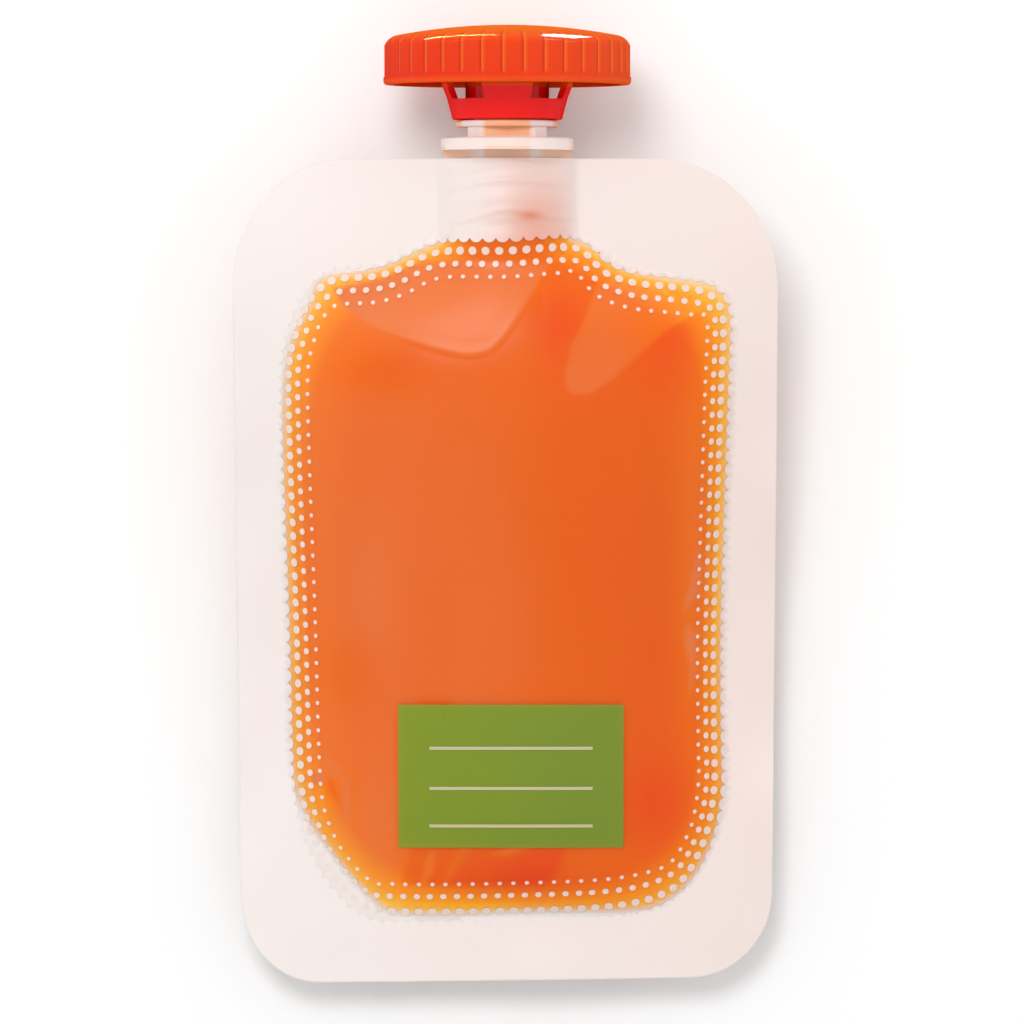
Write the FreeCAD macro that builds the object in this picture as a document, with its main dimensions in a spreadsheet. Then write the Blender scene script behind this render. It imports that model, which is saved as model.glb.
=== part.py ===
import FreeCAD, Part
import math
import os

import Sketcher
from FreeCAD import Placement, Rotation, Vector

# A filled squeeze pouch lying on its back. X runs across the pouch, Y along it towards the cap,
# and Z up. The origin is under the middle of the whole length, on the surface that the pouch lies on.
# The spout and the cap are drawn about their own Z axis, which is then laid along Y.

DIMENSIONS = (
    # film
    ("film_width", 88.5, "pouch width over the side seals"),
    ("film_length", 133.2, "pouch length from the bottom edge to the top edge"),
    ("film_wall", 0.2, "thickness of one film"),
    ("film_bond", 0.04, "sealant layer between two films"),
    ("top_corner", 20.0, "corner radius at the spout end"),
    ("bottom_corner", 11.0, "corner radius at the bottom"),
    ("side_seal", 8.5, "width of the side seals"),
    ("top_seal", 11.8, "depth of the top seal"),
    ("bottom_seal", 12.6, "depth of the bottom seal"),
    ("front_bulge", 12.0, "rise of the front film above the seals"),
    ("back_bulge", 14.0, "fall of the back film below the seals, where nothing stops it"),
    ("seal_height", 8.0, "height of the bottom seal above the resting surface"),
    ("rise_start", 38.0, "distance from the bottom edge at which the seals start to rise to the spout"),
    ("gusset_depth", 25.0, "depth of the folded bottom web"),
    ("fill_gap", 0.3, "clearance between the puree and what holds it"),
    # spout
    ("weld_width", 21.4, "width of the boat-shaped base between the films"),
    ("weld_depth", 10.4, "thickness of that base"),
    ("weld_tip", 0.8, "thickness of that base at its two tips"),
    ("weld_length", 9.2, "length of that base inside the films"),
    ("weld_gap", 0.1, "clearance between the film and the base"),
    ("weld_rib", 0.9, "width of one sealing rib"),
    ("weld_rib_rise", 0.35, "height of the sealing ribs"),
    ("weld_rib_count", 5.0, "number of sealing ribs"),
    ("weld_proud", 1.4, "length of base that stands out of the film"),
    ("duct_length", 12.9, "funnel in the films, from the filling up to the base"),
    ("duct_ramp", 9.2, "part of the funnel in which it opens"),
    ("flange_diameter", 21.4, "main flange"),
    ("flange_thickness", 2.0, "main flange"),
    ("rail_width", 12.7, "square neck, across its flats"),
    ("rail_length", 1.7, "square neck"),
    ("rail_chamfer", 1.8, "square neck, corners"),
    ("stop_diameter", 16.6, "upper flange, under the collar of the cap"),
    ("stop_thickness", 1.1, "upper flange"),
    ("neck_diameter", 10.4, "threaded tube, without its thread"),
    ("bore_diameter", 8.8, "way through the spout"),
    ("flange_round", 0.4, "rounded edges of the flanges"),
    # thread
    ("thread_lead", 5.0, "rise of the cap for one turn"),
    ("thread_starts", 2.0, "number of starts"),
    ("thread_height", 0.6, "height of the ribs of the thread"),
    ("thread_root", 1.05, "width of a rib at its foot"),
    ("thread_crest", 0.6, "width of a rib at its top"),
    ("thread_sink", 0.1, "how deep the foot of a rib is sunk in its wall"),
    ("thread_gap", 0.2, "radial clearance between a rib and the other wall"),
    ("neck_thread_rise", 6.5, "length of the thread on the neck"),
    ("cap_thread_rise", 4.5, "length of the thread in the cap"),
    ("thread_offset", 4.0, "start of the neck's thread above the upper flange"),
    # cap
    ("cap_diameter", 40.0, "ribbed disc"),
    ("cap_height", 9.65, "from the rim to the top of the dome"),
    ("skirt_height", 5.4, "straight part of the skirt"),
    ("shoulder_round", 2.6, "rounded shoulder between the skirt and the dome"),
    ("skirt_wall", 1.6, "wall of the skirt"),
    ("hollow_depth", 6.5, "depth of the hollow under the dome"),
    ("crown_wall", 1.8, "wall over the sealing disc"),
    ("flute_count", 36.0, "lobes round the skirt"),
    ("flute_phase", 7.4, "angle from X to the first groove between two lobes"),
    ("flute_recess", 0.14, "step from the rim band to the top of a lobe"),
    ("flute_round", 5.0, "radius of a lobe"),
    ("rim_band", 1.2, "plain band along the rim"),
    ("rim_round", 0.5, "rounded lower edge of the rim"),
    ("collar_round", 0.3, "rounded lower edge of the collar"),
    ("hollow_slope", 2.2, "slanted corner between the hollow's ceiling and the skirt"),
    ("sleeve_wall", 0.75, "threaded sleeve"),
    ("sleeve_gap", 0.8, "end of the sleeve above the upper flange"),
    ("collar_gap", 0.15, "end of the collar above the upper flange"),
    ("collar_height", 3.3, "conical collar"),
    ("collar_diameter", 17.7, "conical collar, at its lower edge"),
    ("collar_flare", 0.85, "how much further out the collar's upper edge stands"),
    ("collar_wall", 1.1, "conical collar"),
    ("strut_height", 2.35, "open height between the collar and the rim"),
    ("strut_wall", 1.1, "strut"),
    ("strut_flare", 0.9, "how much further out a strut's upper end stands"),
    ("strut_angle", 46.0, "angle that one strut covers round the axis"),
    ("strut_count", 4.0, "struts"),
    ("web_count", 8.0, "radial webs under the dome"),
    ("web_wall", 1.0, "radial web"),
    ("web_recess", 1.6, "webs end this far inside the rim"),
    # sealing disc
    ("seal_thickness", 1.2, "sealing disc"),
    ("seal_gap", 0.1, "radial clearance of the sealing disc"),
    ("bead_rise", 0.4, "how far the bead that holds the disc stands into the bore"),
    ("bead_width", 0.5, "length of that bead"),
)

doc = FreeCAD.newDocument("squeeze_pouch")
sheet = doc.addObject("Spreadsheet::Sheet", "Sizes")
for row, (alias, number, note) in enumerate(DIMENSIONS, start=1):
    sheet.set(f"A{row}", alias)
    sheet.set(f"B{row}", str(number))
    sheet.setAlias(f"B{row}", alias)
    sheet.set(f"C{row}", note)
doc.recompute()


class Size:
    """A size: its number places the first geometry, and its formula binds it to the sheet."""

    def __init__(self, number, formula):
        self.number = number
        self.formula = formula

    def __add__(self, other):
        other = as_size(other)
        return Size(self.number + other.number, f"({self.formula} + {other.formula})")

    def __sub__(self, other):
        other = as_size(other)
        return Size(self.number - other.number, f"({self.formula} - {other.formula})")

    def __mul__(self, other):
        other = as_size(other)
        return Size(self.number * other.number, f"({self.formula} * {other.formula})")

    def __truediv__(self, other):
        other = as_size(other)
        return Size(self.number / other.number, f"({self.formula} / {other.formula})")

    def __neg__(self):
        return Size(-self.number, f"(0 - {self.formula})")


def as_size(value):
    return value if isinstance(value, Size) else Size(float(value), f"{float(value):g}")


def size(alias):
    return Size(float(sheet.get(alias)), f"Sizes.{alias}")


def read(alias):
    return float(sheet.get(alias))


NOUGHT = as_size(0)

# Stations along the axis of the spout, counted from the top edge of the film.
FLANGE_FOOT = size("weld_proud")
FLANGE_TOP = FLANGE_FOOT + size("flange_thickness")
RAIL_TOP = FLANGE_TOP + size("rail_length")
STOP_TOP = RAIL_TOP + size("stop_thickness")
COLLAR_FOOT = STOP_TOP + size("collar_gap")
COLLAR_TOP = COLLAR_FOOT + size("collar_height")
RIM = COLLAR_TOP + size("strut_height")
CROWN = RIM + size("cap_height") - size("crown_wall")
LIP = CROWN - size("seal_thickness")
TOP = RIM + size("cap_height")

# Radii about that axis.
CAP_RADIUS = size("cap_diameter") / 2
NECK_RADIUS = size("neck_diameter") / 2
BORE_RADIUS = size("bore_diameter") / 2
NECK_CREST = NECK_RADIUS + size("thread_height")
SLEEVE_BORE = NECK_CREST + size("thread_gap")
SLEEVE_RADIUS = SLEEVE_BORE + size("sleeve_wall")
SEAL_RADIUS = SLEEVE_BORE - size("seal_gap")

# The whole length is centred on the origin.
WHOLE_LENGTH = size("film_length") + TOP
FILM_TOP_Y = WHOLE_LENGTH / 2 - TOP


def body(label):
    part = doc.addObject("PartDesign::Body", label)
    part.Label = label
    return part


def sketch(part, name, plane, lift=None):
    """An empty sketch on one of the body's own origin planes, lifted off it by lift."""
    drawing = part.newObject("Sketcher::SketchObject", name)
    support = [item for item in part.Origin.OriginFeatures if item.Role == plane][0]
    drawing.AttachmentSupport = [(support, "")]
    drawing.MapMode = "FlatFace"
    if lift is not None:
        drawing.setExpression("AttachmentOffset.Base.z", lift.formula)
    return drawing


def dimension(drawing, kind, value, *where):
    index = drawing.addConstraint(Sketcher.Constraint(kind, *where, value.number))
    drawing.setExpression(f"Constraints[{index}]", value.formula)


def pin(drawing, line, end, across, along):
    dimension(drawing, "DistanceX", across, -1, 1, line, end)
    dimension(drawing, "DistanceY", along, -1, 1, line, end)


def polygon(drawing, corners):
    """A closed outline of straight lines, with each corner tied to the sheet."""
    corners = [(as_size(across), as_size(along)) for across, along in corners]
    first = drawing.GeometryCount
    count = len(corners)
    spots = [Vector(across.number, along.number, 0) for across, along in corners]
    for step in range(count):
        drawing.addGeometry(Part.LineSegment(spots[step], spots[(step + 1) % count]))
    for step in range(count):
        following = first + (step + 1) % count
        drawing.addConstraint(Sketcher.Constraint("Coincident", first + step, 2, following, 1))
    for step, (across, along) in enumerate(corners):
        pin(drawing, first + step, 1, across, along)


def circle(drawing, radius):
    index = drawing.addGeometry(Part.Circle(Vector(0, 0, 0), Vector(0, 0, 1), radius.number))
    drawing.addConstraint(Sketcher.Constraint("Coincident", index, 3, -1, 1))
    dimension(drawing, "Radius", radius, index)


def feature(part, kind, drawing, name):
    item = part.newObject(f"PartDesign::{kind}", name)
    item.Profile = drawing
    return item


def settle(item):
    """Works the feature out, and stops at one that fails."""
    doc.recompute()
    if "Invalid" in item.State or "Error" in item.State or item.Shape.isNull():
        raise RuntimeError(f"{item.Name} failed: {item.State}")
    return item


def pad(part, drawing, length, name):
    item = feature(part, "Pad", drawing, name)
    item.setExpression("Length", length.formula)
    return settle(item)


def disc(part, name, radius, foot, top):
    """A plain round disc about the body's axis, from foot to top."""
    drawing = sketch(part, f"{name}_outline", "XY_Plane", foot)
    circle(drawing, radius)
    return pad(part, drawing, top - foot, name)


def bore(part, name, radius, foot, top):
    """A round hole about the body's axis, from foot up to top."""
    before = part.Shape.Volume
    drawing = sketch(part, f"{name}_outline", "XY_Plane", foot)
    circle(drawing, radius)
    item = feature(part, "Pocket", drawing, name)
    item.setExpression("Length", (top - foot).formula)
    item.Reversed = True
    settle(item)
    if part.Shape.Volume >= before:
        raise RuntimeError(f"{name} cuts nothing")
    return item


def turned(part, kind, name, corners, angle=None):
    """A profile of straight lines turned about the body's axis, all round or centred on X."""
    drawing = sketch(part, f"{name}_profile", "XZ_Plane")
    polygon(drawing, corners)
    item = feature(part, kind, drawing, name)
    item.ReferenceAxis = (drawing, ["V_Axis"])
    if angle is not None:
        item.setExpression("Angle", angle.formula)
        item.Midplane = True
    return settle(item)


def round_pattern(part, item, count, name):
    pattern = part.newObject("PartDesign::PolarPattern", name)
    pattern.Originals = [item]
    axis = [line for line in part.Origin.OriginFeatures if line.Role == "Z_Axis"][0]
    pattern.Axis = (axis, [""])
    pattern.Angle = 360
    pattern.setExpression("Occurrences", count.formula)
    part.Tip = pattern
    return settle(pattern)


def thread(part, name, wall, outward, start, rise):
    """The ribs of the thread on a wall of this radius, standing outward or inward."""
    side = 1 if outward else -1
    foot = wall - size("thread_sink") * side
    crest = wall + size("thread_height") * side
    root_half = size("thread_root") / 2
    crest_half = size("thread_crest") / 2
    drawing = sketch(part, f"{name}_profile", "XZ_Plane")
    polygon(
        drawing,
        [
            (foot, start - root_half),
            (crest, start - crest_half),
            (crest, start + crest_half),
            (foot, start + root_half),
        ],
    )
    helix = feature(part, "AdditiveHelix", drawing, name)
    helix.ReferenceAxis = (drawing, ["V_Axis"])
    helix.Mode = "pitch-height-angle"
    helix.setExpression("Pitch", size("thread_lead").formula)
    helix.setExpression("Height", rise.formula)
    settle(helix)
    return round_pattern(part, helix, size("thread_starts"), f"{name}_starts")


def rounded(part, name, radius, rings):
    """Rounds the circular edges of the body that have one of these (radius, station) pairs."""
    tip = part.Tip
    names = []
    for number, edge in enumerate(tip.Shape.Edges, start=1):
        if edge.Degenerated or not isinstance(edge.Curve, Part.Circle):
            continue
        for ring, station in rings:
            at_radius = abs(edge.Curve.Radius - ring.number) < 0.001
            at_station = abs(edge.Curve.Center.z - station.number) < 0.001
            if at_radius and at_station:
                names.append(f"Edge{number}")
    item = part.newObject("PartDesign::Fillet", name)
    item.Base = (tip, names)
    item.setExpression("Radius", radius.formula)
    return settle(item)


def on_axis(item):
    """Lays the body's own Z axis along Y, at the height of the spout's axis."""
    item.Placement = Placement(Vector(0, 0, 0), Rotation(Vector(1, 0, 0), -90))
    item.setExpression("Placement.Base.y", FILM_TOP_Y.formula)
    item.setExpression("Placement.Base.z", CAP_RADIUS.formula)


# --- spout ---------------------------------------------------------------------------------------


def lens(part, name, shrink, foot):
    """The boat-shaped section of the weld base: two arcs that meet in blunt tips."""
    tip = size("weld_tip") / 2 - shrink / 2
    width = size("weld_width") / 2 - shrink
    rise = size("weld_depth") / 2 - shrink - tip
    radius = (width * width + rise * rise) / (rise * 2)
    drawing = sketch(part, f"{name}_outline", "XY_Plane", foot)
    half = math.asin(width.number / radius.number)
    for side in (1, -1):
        centre = Vector(0, side * (tip.number + rise.number - radius.number), 0)
        arc = Part.Circle(centre, Vector(0, 0, 1), radius.number)
        middle = side * math.pi / 2
        drawing.addGeometry(Part.ArcOfCircle(arc, middle - half, middle + half))
        start = (width * side, tip * side)
        end = (-width * side, tip * side)
        index = drawing.GeometryCount - 1
        pin(drawing, index, 1, *start)
        pin(drawing, index, 2, *end)
        dimension(drawing, "Radius", radius, index)
    for side, ends in ((1, (0, 1, 1, 2)), (-1, (0, 2, 1, 1))):
        first = Vector(side * width.number, tip.number, 0)
        second = Vector(side * width.number, -tip.number, 0)
        index = drawing.addGeometry(Part.LineSegment(first, second))
        drawing.addConstraint(Sketcher.Constraint("Coincident", index, 1, ends[0], ends[1]))
        drawing.addConstraint(Sketcher.Constraint("Coincident", index, 2, ends[2], ends[3]))
    return drawing


def make_spout():
    part = body("spout")
    rib_rise = size("weld_rib_rise")
    core = lens(part, "weld_core", rib_rise, -size("weld_length"))
    pad(part, core, size("weld_length") + FLANGE_FOOT, "weld_core")
    rib = lens(part, "weld_rib", NOUGHT, -size("weld_length"))
    ribs = pad(part, rib, size("weld_rib"), "weld_rib")
    row = part.newObject("PartDesign::LinearPattern", "weld_ribs")
    row.Originals = [ribs]
    axis = [line for line in part.Origin.OriginFeatures if line.Role == "Z_Axis"][0]
    row.Direction = (axis, [""])
    row.setExpression("Length", (size("weld_length") - size("weld_rib")).formula)
    row.setExpression("Occurrences", size("weld_rib_count").formula)
    part.Tip = row
    settle(row)
    disc(part, "main_flange", size("flange_diameter") / 2, FLANGE_FOOT, FLANGE_TOP)
    rail = sketch(part, "rail_outline", "XY_Plane", FLANGE_TOP)
    half = size("rail_width") / 2
    flat = half - size("rail_chamfer")
    corners = [(half, -flat), (half, flat), (flat, half), (-flat, half)]
    polygon(rail, corners + [(-across, -along) for across, along in corners])
    pad(part, rail, size("rail_length"), "square_neck")
    disc(part, "stop_flange", size("stop_diameter") / 2, RAIL_TOP, STOP_TOP)
    # The lower edge of the main flange stays sharp: the tips of the weld base meet it there.
    edges = [
        (size("flange_diameter") / 2, FLANGE_TOP),
        (size("stop_diameter") / 2, RAIL_TOP),
        (size("stop_diameter") / 2, STOP_TOP),
    ]
    rounded(part, "flange_edges", size("flange_round"), edges)
    disc(part, "neck", NECK_RADIUS, STOP_TOP, LIP)
    bore(part, "way_through", BORE_RADIUS, -size("weld_length"), LIP)
    start = STOP_TOP + size("thread_offset")
    thread(part, "neck_thread", NECK_RADIUS, True, start, size("neck_thread_rise"))
    on_axis(part)
    return part


# --- cap -----------------------------------------------------------------------------------------


def dome_profile(part):
    """Half of the disc's section: skirt, rounded shoulder and shallow dome, each tangent to the next."""
    shoulder = size("shoulder_round")
    skirt_top = RIM + size("skirt_height")
    reach = CAP_RADIUS - shoulder
    rise = TOP - skirt_top
    dome = (reach * reach + rise * rise - shoulder * shoulder) / ((rise - shoulder) * 2)
    low = dome.number - shoulder.number
    angle = math.acos(reach.number / low)
    up = Vector(0, 0, 1)
    drawing = sketch(part, "dome_profile", "XZ_Plane")
    shoulder_centre = Vector(reach.number, skirt_top.number, 0)
    dome_centre = Vector(0, TOP.number - dome.number, 0)
    drawing.addGeometry(Part.LineSegment(Vector(0, RIM.number, 0), Vector(CAP_RADIUS.number, RIM.number, 0)))
    drawing.addGeometry(
        Part.LineSegment(
            Vector(CAP_RADIUS.number, RIM.number, 0),
            Vector(CAP_RADIUS.number, skirt_top.number, 0),
        )
    )
    drawing.addGeometry(Part.ArcOfCircle(Part.Circle(shoulder_centre, up, shoulder.number), 0, angle))
    drawing.addGeometry(Part.ArcOfCircle(Part.Circle(dome_centre, up, dome.number), angle, math.pi / 2))
    drawing.addGeometry(Part.LineSegment(Vector(0, TOP.number, 0), Vector(0, RIM.number, 0)))
    rim, skirt, corner, crown, axis = range(5)
    for first, second in ((rim, skirt), (skirt, corner), (crown, axis), (axis, rim)):
        drawing.addConstraint(Sketcher.Constraint("Coincident", first, 2, second, 1))
    drawing.addConstraint(Sketcher.Constraint("Tangent", corner, 2, crown, 1))
    pin(drawing, rim, 1, NOUGHT, RIM)
    pin(drawing, skirt, 1, CAP_RADIUS, RIM)
    pin(drawing, corner, 3, reach, skirt_top)
    pin(drawing, corner, 1, CAP_RADIUS, skirt_top)
    pin(drawing, axis, 1, NOUGHT, TOP)
    dimension(drawing, "DistanceX", NOUGHT, -1, 1, crown, 3)
    return drawing


def make_cap_core():
    """The cap before its skirt is fluted."""
    part = body("cap_core")
    profile = dome_profile(part)
    dome = feature(part, "Revolution", profile, "dome")
    dome.ReferenceAxis = (profile, ["V_Axis"])
    settle(dome)
    ceiling = RIM + size("hollow_depth")
    wall = CAP_RADIUS - size("skirt_wall")
    slope = size("hollow_slope")
    below = RIM - size("rim_band")
    hollow = [
        (SLEEVE_RADIUS, below),
        (wall, below),
        (wall, ceiling - slope),
        (wall - slope, ceiling),
        (SLEEVE_RADIUS, ceiling),
    ]
    turned(part, "Groove", "hollow", hollow)
    rounded(part, "rim_edge", size("rim_round"), [(CAP_RADIUS, RIM)])
    web = sketch(part, "web_outline", "XY_Plane", RIM + size("web_recess"))
    half = size("web_wall") / 2
    reach = wall + size("thread_sink")
    root = SLEEVE_RADIUS - size("thread_sink")
    polygon(web, [(root, -half), (reach, -half), (reach, half), (root, half)])
    webs = pad(part, web, size("hollow_depth") - size("web_recess"), "web")
    round_pattern(part, webs, size("web_count"), "webs")
    sleeve_foot = STOP_TOP + size("sleeve_gap")
    disc(part, "sleeve", SLEEVE_RADIUS, sleeve_foot, ceiling)
    bore(part, "sleeve_bore", SLEEVE_BORE, sleeve_foot, CROWN)
    low = size("collar_diameter") / 2
    high = low + size("collar_flare")
    collar = size("collar_wall")
    ring = [(low - collar, COLLAR_FOOT), (low, COLLAR_FOOT), (high, COLLAR_TOP), (high - collar, COLLAR_TOP)]
    turned(part, "Revolution", "collar", ring)
    rounded(part, "collar_edge", size("collar_round"), [(low, COLLAR_FOOT)])
    flared = high + size("strut_flare")
    strut = size("strut_wall")
    leg = [
        (high - strut, COLLAR_TOP),
        (high, COLLAR_TOP),
        (flared, RIM),
        (flared, ceiling),
        (flared - strut, ceiling),
        (flared - strut, RIM),
    ]
    struts = turned(part, "Revolution", "strut", leg, size("strut_angle"))
    round_pattern(part, struts, size("strut_count"), "struts")
    bead_top = LIP - size("seal_gap")
    crest = SLEEVE_BORE - size("bead_rise")
    sunk = SLEEVE_BORE + size("thread_sink")
    bead = [
        (sunk, bead_top - size("bead_width")),
        (crest, bead_top - size("bead_width") / 2),
        (crest, bead_top),
        (sunk, bead_top),
    ]
    turned(part, "Revolution", "bead", bead)
    # The cap's ribs run midway between the neck's, one half pitch lower.
    pitch = size("thread_lead") / size("thread_starts")
    start = STOP_TOP + size("thread_offset") - pitch / 2
    thread(part, "cap_thread", SLEEVE_BORE, False, start, size("cap_thread_rise"))
    return part


def flute_cutter():
    """What is cut away outside the ring of lobes: each lobe is an arc, and two arcs meet in a groove."""
    count = round(read("flute_count"))
    lobe = read("flute_round")
    centre_reach = CAP_RADIUS.number - read("flute_recess") - lobe
    half_pitch = math.pi / count
    across = centre_reach * math.sin(half_pitch)
    groove_reach = centre_reach * math.cos(half_pitch) + math.sqrt(lobe * lobe - across * across)
    foot = RIM.number + read("rim_band")

    def spot(reach, angle):
        return Vector(reach * math.cos(angle), reach * math.sin(angle), foot)

    edges = []
    for step in range(count):
        angle = math.radians(read("flute_phase")) + 2 * half_pitch * step
        first = spot(groove_reach, angle)
        top = spot(centre_reach + lobe, angle + half_pitch)
        second = spot(groove_reach, angle + 2 * half_pitch)
        edges.append(Part.Arc(first, top, second).toShape())
    lobes = Part.Face(Part.Wire(edges))
    clear = CAP_RADIUS.number + read("skirt_wall")
    blank = Part.makeCylinder(clear, TOP.number - foot, Vector(0, 0, foot))
    return blank.cut(lobes.extrude(Vector(0, 0, TOP.number - foot)))


def make_cap():
    core = make_cap_core()
    cutter = doc.addObject("Part::Feature", "flutes")
    cutter.Shape = flute_cutter()
    cap = doc.addObject("Part::Cut", "cap")
    cap.Label = "cap"
    cap.Base = core
    cap.Tool = cutter
    cap.Refine = False
    on_axis(cap)
    doc.recompute()
    return cap


def make_cap_seal():
    part = body("cap_seal")
    disc(part, "sealing_disc", SEAL_RADIUS, LIP, CROWN)
    on_axis(part)
    return part


# --- films and filling ---------------------------------------------------------------------------

BOTTOM_Y = -WHOLE_LENGTH.number / 2
TOP_Y = FILM_TOP_Y.number
AXIS_HEIGHT = CAP_RADIUS.number
HALF_WIDTH = read("film_width") / 2
WALL = read("film_wall")
BOND = read("film_bond")
FOLD_Y = BOTTOM_Y + read("gusset_depth")
WELD_FOOT_Y = TOP_Y - read("weld_length")

# The filling spreads over a rounded figure, |x/a|^3 + |y/b|^6 = 1, blunt at the sides and with its
# corners cut off on a slant.
SPREAD = HALF_WIDTH - read("side_seal")
REACH = (read("film_length") - read("bottom_seal") - read("top_seal")) / 2
MIDDLE_Y = BOTTOM_Y + read("bottom_seal") + REACH
SIDE_POWER = 3
END_POWER = 2 * SIDE_POWER
SEAL_EASE = 0.12

# Where the bulge of the filling and the spout's base meet, the larger of the two wins, on a soft curve.
MERGE_POWER = 4

GRID = 1.5
OUTLINE_POINTS = 48
HIGH = 3 * AXIS_HEIGHT


def ease(share):
    """0 to 1 along a smooth step."""
    share = min(max(share, 0.0), 1.0)
    return share * share * (3 - 2 * share)


def soft_floor(value, blend):
    """The value where it is positive and nought where it is negative, joined by a short curve."""
    if value <= -blend:
        return 0.0
    if value >= blend:
        return value
    return (value + blend) ** 2 / (4 * blend)


def seam(y):
    """Height of the sealed edges: low at the bottom, and up to the spout's axis at the top."""
    start = BOTTOM_Y + read("rise_start")
    rise = AXIS_HEIGHT - read("seal_height")
    return read("seal_height") + rise * ease((y - start) / (WELD_FOOT_Y - start))


def fullness(x, y):
    """1 in the middle of the filling and nought from its edge outward."""
    figure = 1 - abs(x / SPREAD) ** SIDE_POWER - abs((y - MIDDLE_Y) / REACH) ** END_POWER
    return soft_floor(figure, SEAL_EASE)


def weld_half(x):
    """Half thickness of the weld base, and of the duct in front of it, at this x."""
    tip = read("weld_tip") / 2
    width = read("weld_width") / 2
    rise = read("weld_depth") / 2 - tip
    radius = (width**2 + rise**2) / (2 * rise)
    arc = math.sqrt(max(radius**2 - x**2, 0.0)) - radius + rise + tip + read("weld_gap")
    return soft_floor(arc, read("weld_tip"))


def opening(x, y, bulge):
    """How far a film stands off the seam: over the filling, and over the spout's base and its duct."""
    swell = bulge * fullness(x, y)
    weld = weld_half(x) * ease((y - WELD_FOOT_Y + read("duct_length")) / read("duct_ramp"))
    return (swell**MERGE_POWER + weld**MERGE_POWER) ** (1 / MERGE_POWER)


def spacer(y):
    """Room for one leaf of the folded web on each side of the seam."""
    return WALL * (1 - ease((y - FOLD_Y) / read("bottom_seal")))


def front_inside(x, y):
    return seam(y) + BOND / 2 + spacer(y) + opening(x, y, read("front_bulge"))


def back_inside(x, y):
    return seam(y) - BOND / 2 - spacer(y) - opening(x, y, read("back_bulge"))


def surface(height):
    """A smooth face through height(x, y), a little larger than the pouch."""
    columns = math.ceil(HALF_WIDTH / GRID) + 1
    rows = math.ceil((TOP_Y - BOTTOM_Y) / 2 / GRID) + 1
    centre = (TOP_Y + BOTTOM_Y) / 2
    points = []
    for column in range(-columns, columns + 1):
        x = column * GRID
        line = []
        for row in range(-rows, rows + 1):
            y = centre + row * GRID
            line.append(Vector(x, y, height(x, y)))
        points.append(line)
    patch = Part.BSplineSurface()
    patch.interpolate(points)
    return patch.toShape()


def corner(centre_x, centre_y, radius, start):
    arc = Part.Circle(Vector(centre_x, centre_y, 0), Vector(0, 0, 1), radius)
    first = math.radians(start)
    return Part.ArcOfCircle(arc, first, first + math.pi / 2)


def film_outline():
    """The pouch seen from above: a rectangle with large corners at the spout and small ones below."""
    top = read("top_corner")
    low = read("bottom_corner")
    arcs = [
        corner(HALF_WIDTH - top, TOP_Y - top, top, 0),
        corner(top - HALF_WIDTH, TOP_Y - top, top, 90),
        corner(low - HALF_WIDTH, BOTTOM_Y + low, low, 180),
        corner(HALF_WIDTH - low, BOTTOM_Y + low, low, 270),
    ]
    edges = []
    for step, arc in enumerate(arcs):
        following = arcs[(step + 1) % len(arcs)]
        edges.append(arc.toShape())
        edges.append(Part.LineSegment(arc.EndPoint, following.StartPoint).toShape())
    face = Part.Face(Part.Wire(edges))
    face.translate(Vector(0, 0, -WALL))
    return face.extrude(Vector(0, 0, HIGH))


def above(face, height):
    """Everything over the face, up to this much higher, and nowhere below this level."""
    return face.extrude(Vector(0, 0, HIGH)).common(level_box(height))


def level_box(height, low_y=None, high_y=None):
    low = 2 * BOTTOM_Y if low_y is None else low_y
    high = -2 * BOTTOM_Y if high_y is None else high_y
    return Part.makeBox(4 * HALF_WIDTH, high - low, 2 * HIGH, Vector(-2 * HALF_WIDTH, low, height))


def made(label, shape):
    item = doc.addObject("Part::Feature", label)
    item.Label = label
    item.Shape = shape
    item.Placement = Placement()
    return item


def make_films(outline):
    front_face = surface(front_inside)
    back_face = surface(lambda x, y: back_inside(x, y) - WALL)
    front = front_face.extrude(Vector(0, 0, WALL)).common(outline)
    lifted = back_face.copy()
    lifted.translate(Vector(0, 0, WALL))
    back = above(back_face, 0).cut(above(lifted, WALL)).common(outline)
    seam_face = surface(lambda x, y: seam(y) - WALL)
    leaves = seam_face.extrude(Vector(0, 0, 2 * WALL)).common(outline)
    gusset = leaves.common(level_box(-HIGH / 2, 2 * BOTTOM_Y, FOLD_Y))
    return made("front_film", front), made("back_film", back), made("bottom_gusset", gusset)


def filling_outline():
    """The figure of the filling, drawn in just far enough to have an edge of its own."""
    inset = 1 - read("fill_gap") / read("side_seal")
    spots = []
    for step in range(OUTLINE_POINTS):
        turn = 2 * math.pi * step / OUTLINE_POINTS
        side = abs(math.cos(turn)) ** SIDE_POWER
        end = abs(math.sin(turn)) ** END_POWER
        # END_POWER is twice SIDE_POWER, so the figure's radius to SIDE_POWER solves a quadratic.
        ray = inset * (2 / (side + math.sqrt(side**2 + 4 * end))) ** (1 / SIDE_POWER)
        across = SPREAD * ray * math.cos(turn)
        along = MIDDLE_Y + REACH * ray * math.sin(turn)
        spots.append(Vector(across, along, -WALL))
    curve = Part.BSplineCurve()
    curve.interpolate(spots, PeriodicFlag=True)
    return Part.Face(Part.Wire(curve.toShape())).extrude(Vector(0, 0, HIGH))


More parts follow.
